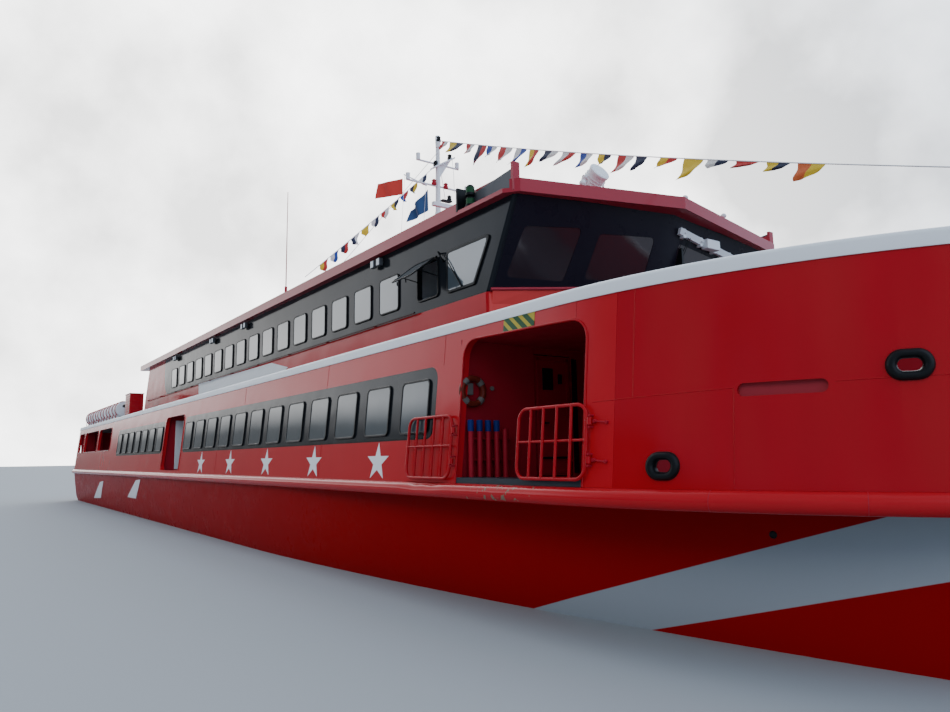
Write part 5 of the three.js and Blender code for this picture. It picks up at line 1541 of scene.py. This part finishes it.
def plain_flag(name, hoist, head, foot, colour, wide, droop, narrow):
    """A flag on its hoist line, flying aft from its two held corners, its free edge gathered in waves."""
    rows = []
    for j in range(9):
        down = j / 8
        row = []
        for k in range(17):
            out = k / 16
            wave = 0.07 * math.sin(9.0 * out + 1.5 * down) * out * (1 + 2 * narrow)
            edge = Vector(head).lerp(Vector(foot), 0.5 + (down - 0.5) * (1 - narrow * out))
            row.append(tuple(Vector(hoist) + edge + Vector((
                -0.75 * wide * out, -0.6 * wide * out + wave, -droop * wide * out + 0.3 * wave))))
        rows.append(row)
    piece = lofted(rows, open_section=True)
    piece = finish(name, [piece], bunting(name + "_bunting", colour))


MAST = {"x": 7.35, "top": 13.25}


def make_mast():
    """The mast in its CAD form with a lamp bracket and its gusset, a slanted spar and an aerial."""
    mast = loose_copy("mast")
    mast.data.transform(Matrix.Scale(1 / SCALE, 4))
    parts = [mast]
    x, top = MAST["x"], MAST["top"]
    parts.append(rod((x + 0.02, 0.0, top - 0.2), (x + 0.02, 0.0, top + 0.02), 0.09, 14, bevel=0.01))
    bracket = prism([(-0.22, 12.24), (0.62, 12.76), (0.62, 12.82), (-0.22, 12.3)], x - 0.16, x + 0.16,
                    axis="x", bevel=0.01)
    gusset = prism([(0.0, 11.95), (0.05, 11.95), (0.56, 12.76), (0.0, 12.42)], x - 0.02, x + 0.02, axis="x")
    parts += [bracket, gusset]
    parts.append(rod((x, -0.45, 11.6), (x - 0.17, -1.25, 11.88), 0.028, 10, tip=0.018))
    parts.append(tube([(x + 0.02, 0.58, 12.8), (x + 0.02, 0.64, 12.2), (x + 0.02, 0.66, 11.55)], 0.008))
    finish("mast_and_yards", parts, white, replaces=["mast"], smooth=35)


def make_mast_lamps():
    """The mast's lamps: each a foot, a lens and a cap, in black or in red."""
    x, top = MAST["x"], MAST["top"]
    lamps, reds = [], []
    for bucket, y, z in ((lamps, 0.0, top), (lamps, -0.13, 12.34), (lamps, 0.45, 12.7), (lamps, 0.42, 11.2),
                         (reds, -0.2, 11.66), (reds, 0.28, 11.62)):
        bucket.append(rod((x + 0.06, y, z), (x + 0.06, y, z + 0.08), 0.085, 16, bevel=0.008))
        bucket.append(rod((x + 0.06, y, z + 0.08), (x + 0.06, y, z + 0.15), 0.065, 16))
        bucket.append(rod((x + 0.06, y, z + 0.15), (x + 0.06, y, z + 0.2), 0.085, 16, tip=0.04))
    lamps.append(block((x - 0.05, 0.1, 11.15), (x + 0.14, 0.5, 11.2), 0.008))
    finish("mast_lamps", lamps, black, smooth=50)
    finish("mast_red_lamps", reds, shade_red, smooth=50)


def make_rigging():
    """The mast's stays and the bow staff, the dressing lines and the two plain flags."""
    x = MAST["x"]
    stays = [rod((x, 0, 12.9), (x - 3.2, side * 3.2, roof_under(3.2) + 0.26), 0.01, 6) for side in (-1, 1)]
    for y, z in ((-1.25, 11.86), (-0.42, 11.6)):
        stays.append(rod((x - 0.1, y, z), (x - 0.3, y - 0.15, roof_under(y) + 0.26), 0.006, 6))
    stays.append(rod((27.2, 0, 4.6), (27.2, 0, 5.55), 0.03, 12, tip=0.02))
    finish("mast_stays", stays, white)
    dressing_line("forward_dressing", MAST_HEAD, BOW_STAFF, 0.22, FORWARD_FLAGS, 1)
    dressing_line("after_dressing", (x, -0.2, 12.28), (6.488, -4.4, 8.074), 0.05, AFTER_FLAGS, 2)
    plain_flag("red_flag", (x - 0.15, -1.3, 11.82), (0, 0, -0.1), (0, 0, -0.66), "#d33a2a",
               wide=0.98, droop=0.06, narrow=0.08)
    plain_flag("blue_flag", (x - 0.05, -0.38, 11.5), (0, 0, 0), (0.0, 0.02, -0.75), "#25507f",
               wide=0.72, droop=0.72, narrow=0.5)


def make_house_sides():
    """The deckhouse sides, their fore edges rounded where they meet the black front."""
    for side in ("starboard", "port"):
        obj = loose_copy(f"house_side_{side}")
        outer = HOUSE_Y * SCALE - 0.001

        def fore_edge(place):
            share = max(0.0, place.z / SCALE - SILL) / (ROOF - SILL)
            fore = (HOUSE_FRONT + RAKE * share) * SCALE
            return outer < abs(place.y) < outer + 0.003 and abs(place.x - fore) < 0.03

        eased(obj, fore_edge, 0.035)
        finish(f"{side}_deckhouse_wall", [obj], house_red, replaces=[f"house_side_{side}"],
               smooth=35, ready=True)
    # The strips take the brighter red of the wall under the bridge windows, painted light.
    strip = block((HOUSE_FRONT - 0.02, -4.262, 4.56), (HOUSE_FRONT + 0.004, -4.18, sill_z(4.2)), 0.003)
    both("front_corner_strips", [strip], lit_wall_red)


RAFTS = {"fore": -16.3, "pitch": 1.9, "count": 6, "y": -5.58}


def make_raft_hoops():
    """Two hoops round each raft canister, and the legs of its cradle."""
    hoops, cradle = [], []
    for k in range(RAFTS["count"]):
        for shift in (-0.45, 0.45):
            x = RAFTS["fore"] - RAFTS["pitch"] * k + shift
            hoops.append(ring((x, RAFTS["y"], UPPER_DECK_TOP + 0.73), 0.44, 0.022, 28, 6, axis=(1, 0, 0)))
            for side in (0.38, -0.38):
                y = RAFTS["y"] + side
                cradle.append(rod((x, y, UPPER_DECK_TOP + 0.012), (x, y, UPPER_DECK_TOP + 0.452), 0.02, 8))
    both("raft_hoops", hoops + cradle, plain_red, smooth=60)


def make_casing_louvres():
    """Slats on two sides of the vent casing, and its lid."""
    slats = []
    for k in range(9):
        z = 4.75 + 0.125 * k
        slats.append(block((-14.1, -5.815, z), (-13.1, -5.79, z + 0.05), 0.006))
        slats.append(block((-13.01, -5.72, z), (-12.985, -5.23, z + 0.05), 0.006))
    slats.append(block((-14.23, -5.83, 5.88), (-12.97, -5.12, 5.93), 0.02))
    both("casing_louvres", slats, plain_red)


def make_ventilators():
    """A mushroom ventilator and a small lamp on a post, aft of each casing."""
    x, y, foot = -14.75, -5.5, UPPER_DECK_TOP - 0.008
    post = [rod((x, y, foot), (x, y, 5.35), 0.2, 20),
            rod((x, y, 5.3), (x, y, 5.42), 0.33, 24, bevel=0.03),
            rod((x, y, 5.42), (x, y, 5.56), 0.33, 24, tip=0.12, bevel=0.03)]
    both("deck_ventilators", post, black, smooth=50)
    x, y = x + 0.3, y - 0.2
    lamp = [rod((x, y, foot), (x, y, 5.2), 0.02, 10), rod((x, y, 5.2), (x, y, 5.34), 0.06, 14, bevel=0.01)]
    both("deck_lamps", lamp, shaded_orange, smooth=50)


def make_after_deck():
    """The after deck's inner and after screens with their frames, and two panels in the mid entrance."""
    low, high = DECK, UPPER_DECK_UNDER
    screens = [block((-26.6, -2.62, low), (-15.0, -2.58, high))]
    for k in range(9):
        x = -26.0 + 1.3 * k
        screens.append(block((x, -2.7, low), (x + 0.06, -2.6, high)))
    screens.append(block((-21.6, -2.66, low + 0.06), (-20.7, -2.6, 4.1), 0.02))
    screens.append(block((-27.0, -6.12, low), (-26.95, -2.6, high)))
    for k in range(7):
        y = -5.9 + 0.5 * k
        screens.append(block((-26.96, y, low), (-26.88, y + 0.08, high)))
    both("after_deck_screens", screens, shade_red)
    panel = [block((-2.998, -5.86, 2.12), (-2.97, -5.5, 4.02), 0.01),
             block((-2.998, -4.9, 2.5), (-2.97, -4.3, 3.9), 0.01)]
    both("lobby_notice_panels", panel, white)


def make_opening_beads():
    """A rounded bead round the mid entrance and round each bay."""
    bead = arch(*(MID_DOOR[key] for key in ("aft", "fore", "low", "high", "round")))
    rims = [tube([skin(s, z, 0.004) for s, z in bead], 0.016)]
    for aft, fore in BAYS:
        rims.append(tube([skin(s, z, 0.004) for s, z in bay_outline(aft, fore)], 0.014, cyclic=True))
    both("opening_beads", rims, plain_red, smooth=60)


def make_deck_gear():
    """The windlass, the bow store's hatch and the stays inside the bulwark."""
    smooth_copy("windlass", "anchor_windlass", machine, 40, 0.012)
    hatch = [block((23.9, -0.45, 1.98), (24.8, 0.45, 2.12), 0.02),
             block((23.85, -0.5, 2.1), (24.85, 0.5, 2.16), 0.02)]
    for y in (-0.3, 0.3):
        hatch.append(block((23.8, y - 0.06, 2.13), (23.98, y + 0.06, 2.2), 0.01))
    grip = [(24.65, -0.15, 2.15), (24.65, -0.15, 2.24), (24.65, 0.15, 2.24), (24.65, 0.15, 2.15)]
    hatch.append(tube(bent(grip, 0.04), 0.014))
    finish("bow_store_hatch", hatch, white)
    ribs = []
    for k in range(9):
        run = run_of(21.6) + (STEM_RUN - run_of(21.6)) * (k + 0.5) / 9
        outline = [skin(run, z, -PLATE) for z in (DECK, 4.5)]
        inner = [skin(run, z, -PLATE - deep) for z, deep in ((4.5, 0.06), (DECK, 0.34))]
        base = [Vector(p) for p in outline + inner]
        side = (Vector(skin(run + 0.02, 3.0)) - Vector(skin(run - 0.02, 3.0))).normalized() * 0.02
        ribs.append(lofted([[tuple(p - side) for p in base], [tuple(p + side) for p in base]]))
    both("bulwark_stays", ribs, plain_red)


def make_roof_seams():
    """The weld seams across the roof's plates."""
    seams = []
    for k in range(22):
        x = ROOF_AFT + 0.8 + 1.5 * k
        path = [(x, y, roof_under(y) + ROOF_EDGE + 0.002) for y in (-4.2, 0, 4.2)]
        seams.append(tube(path, 0.008))
    finish("roof_plate_seams", seams, plain_red)


def make_rest():
    """What keeps the CAD's own form: rafts, screws and radar shaded smooth, the rest with its paint."""
    for side in ("starboard", "port"):
        smooth_copy(f"liferafts_{side}", f"{side}_raft_canisters", white, 50)
        smooth_copy(f"propeller_{side}", f"{side}_screw", bronze, 40)
    smooth_copy("radar_scanner", "radar_arm", white, 30, 0.01)
    finishes = {
        "red_paint": plain_red, "hull_red": hull_red, "white_paint": white, "dark_red_paint": shade_red,
        "deck_grey": deck, "black_paint": black, "dark_glass": dark_glass, "machinery_grey": machine,
        "bronze": bronze, "console_plastic": black, "raft_plastic": white,
    }
    for subpart in frame["record"]["subparts"]:
        cad = frame["nodes"][subpart["node"]]
        cad.data.materials.clear()
        chosen = finishes[subpart["material_slot"]]
        # The wall under the bridge windows takes the brighter red, painted light.
        cad.data.materials.append(lit_wall_red if subpart["node"] == "house_front_wall" else chosen)


make_sides()
make_gates()
make_doorway()
make_saloon_doors()
make_lifebuoys()
make_entrance_posts()
make_bow()
make_rail_and_band()
make_hulls()
make_windows()
make_bridge_side_windows()
make_floodlights()
make_wheelhouse()
make_side_lamps()
make_searchlight()
make_roof()
make_house_sides()
make_stars()
make_hazard_plate()
make_house_panel()
make_mast()
make_mast_lamps()
make_rigging()
make_raft_hoops()
make_casing_louvres()
make_ventilators()
make_after_deck()
make_opening_beads()
make_deck_gear()
make_roof_seams()
make_rest()
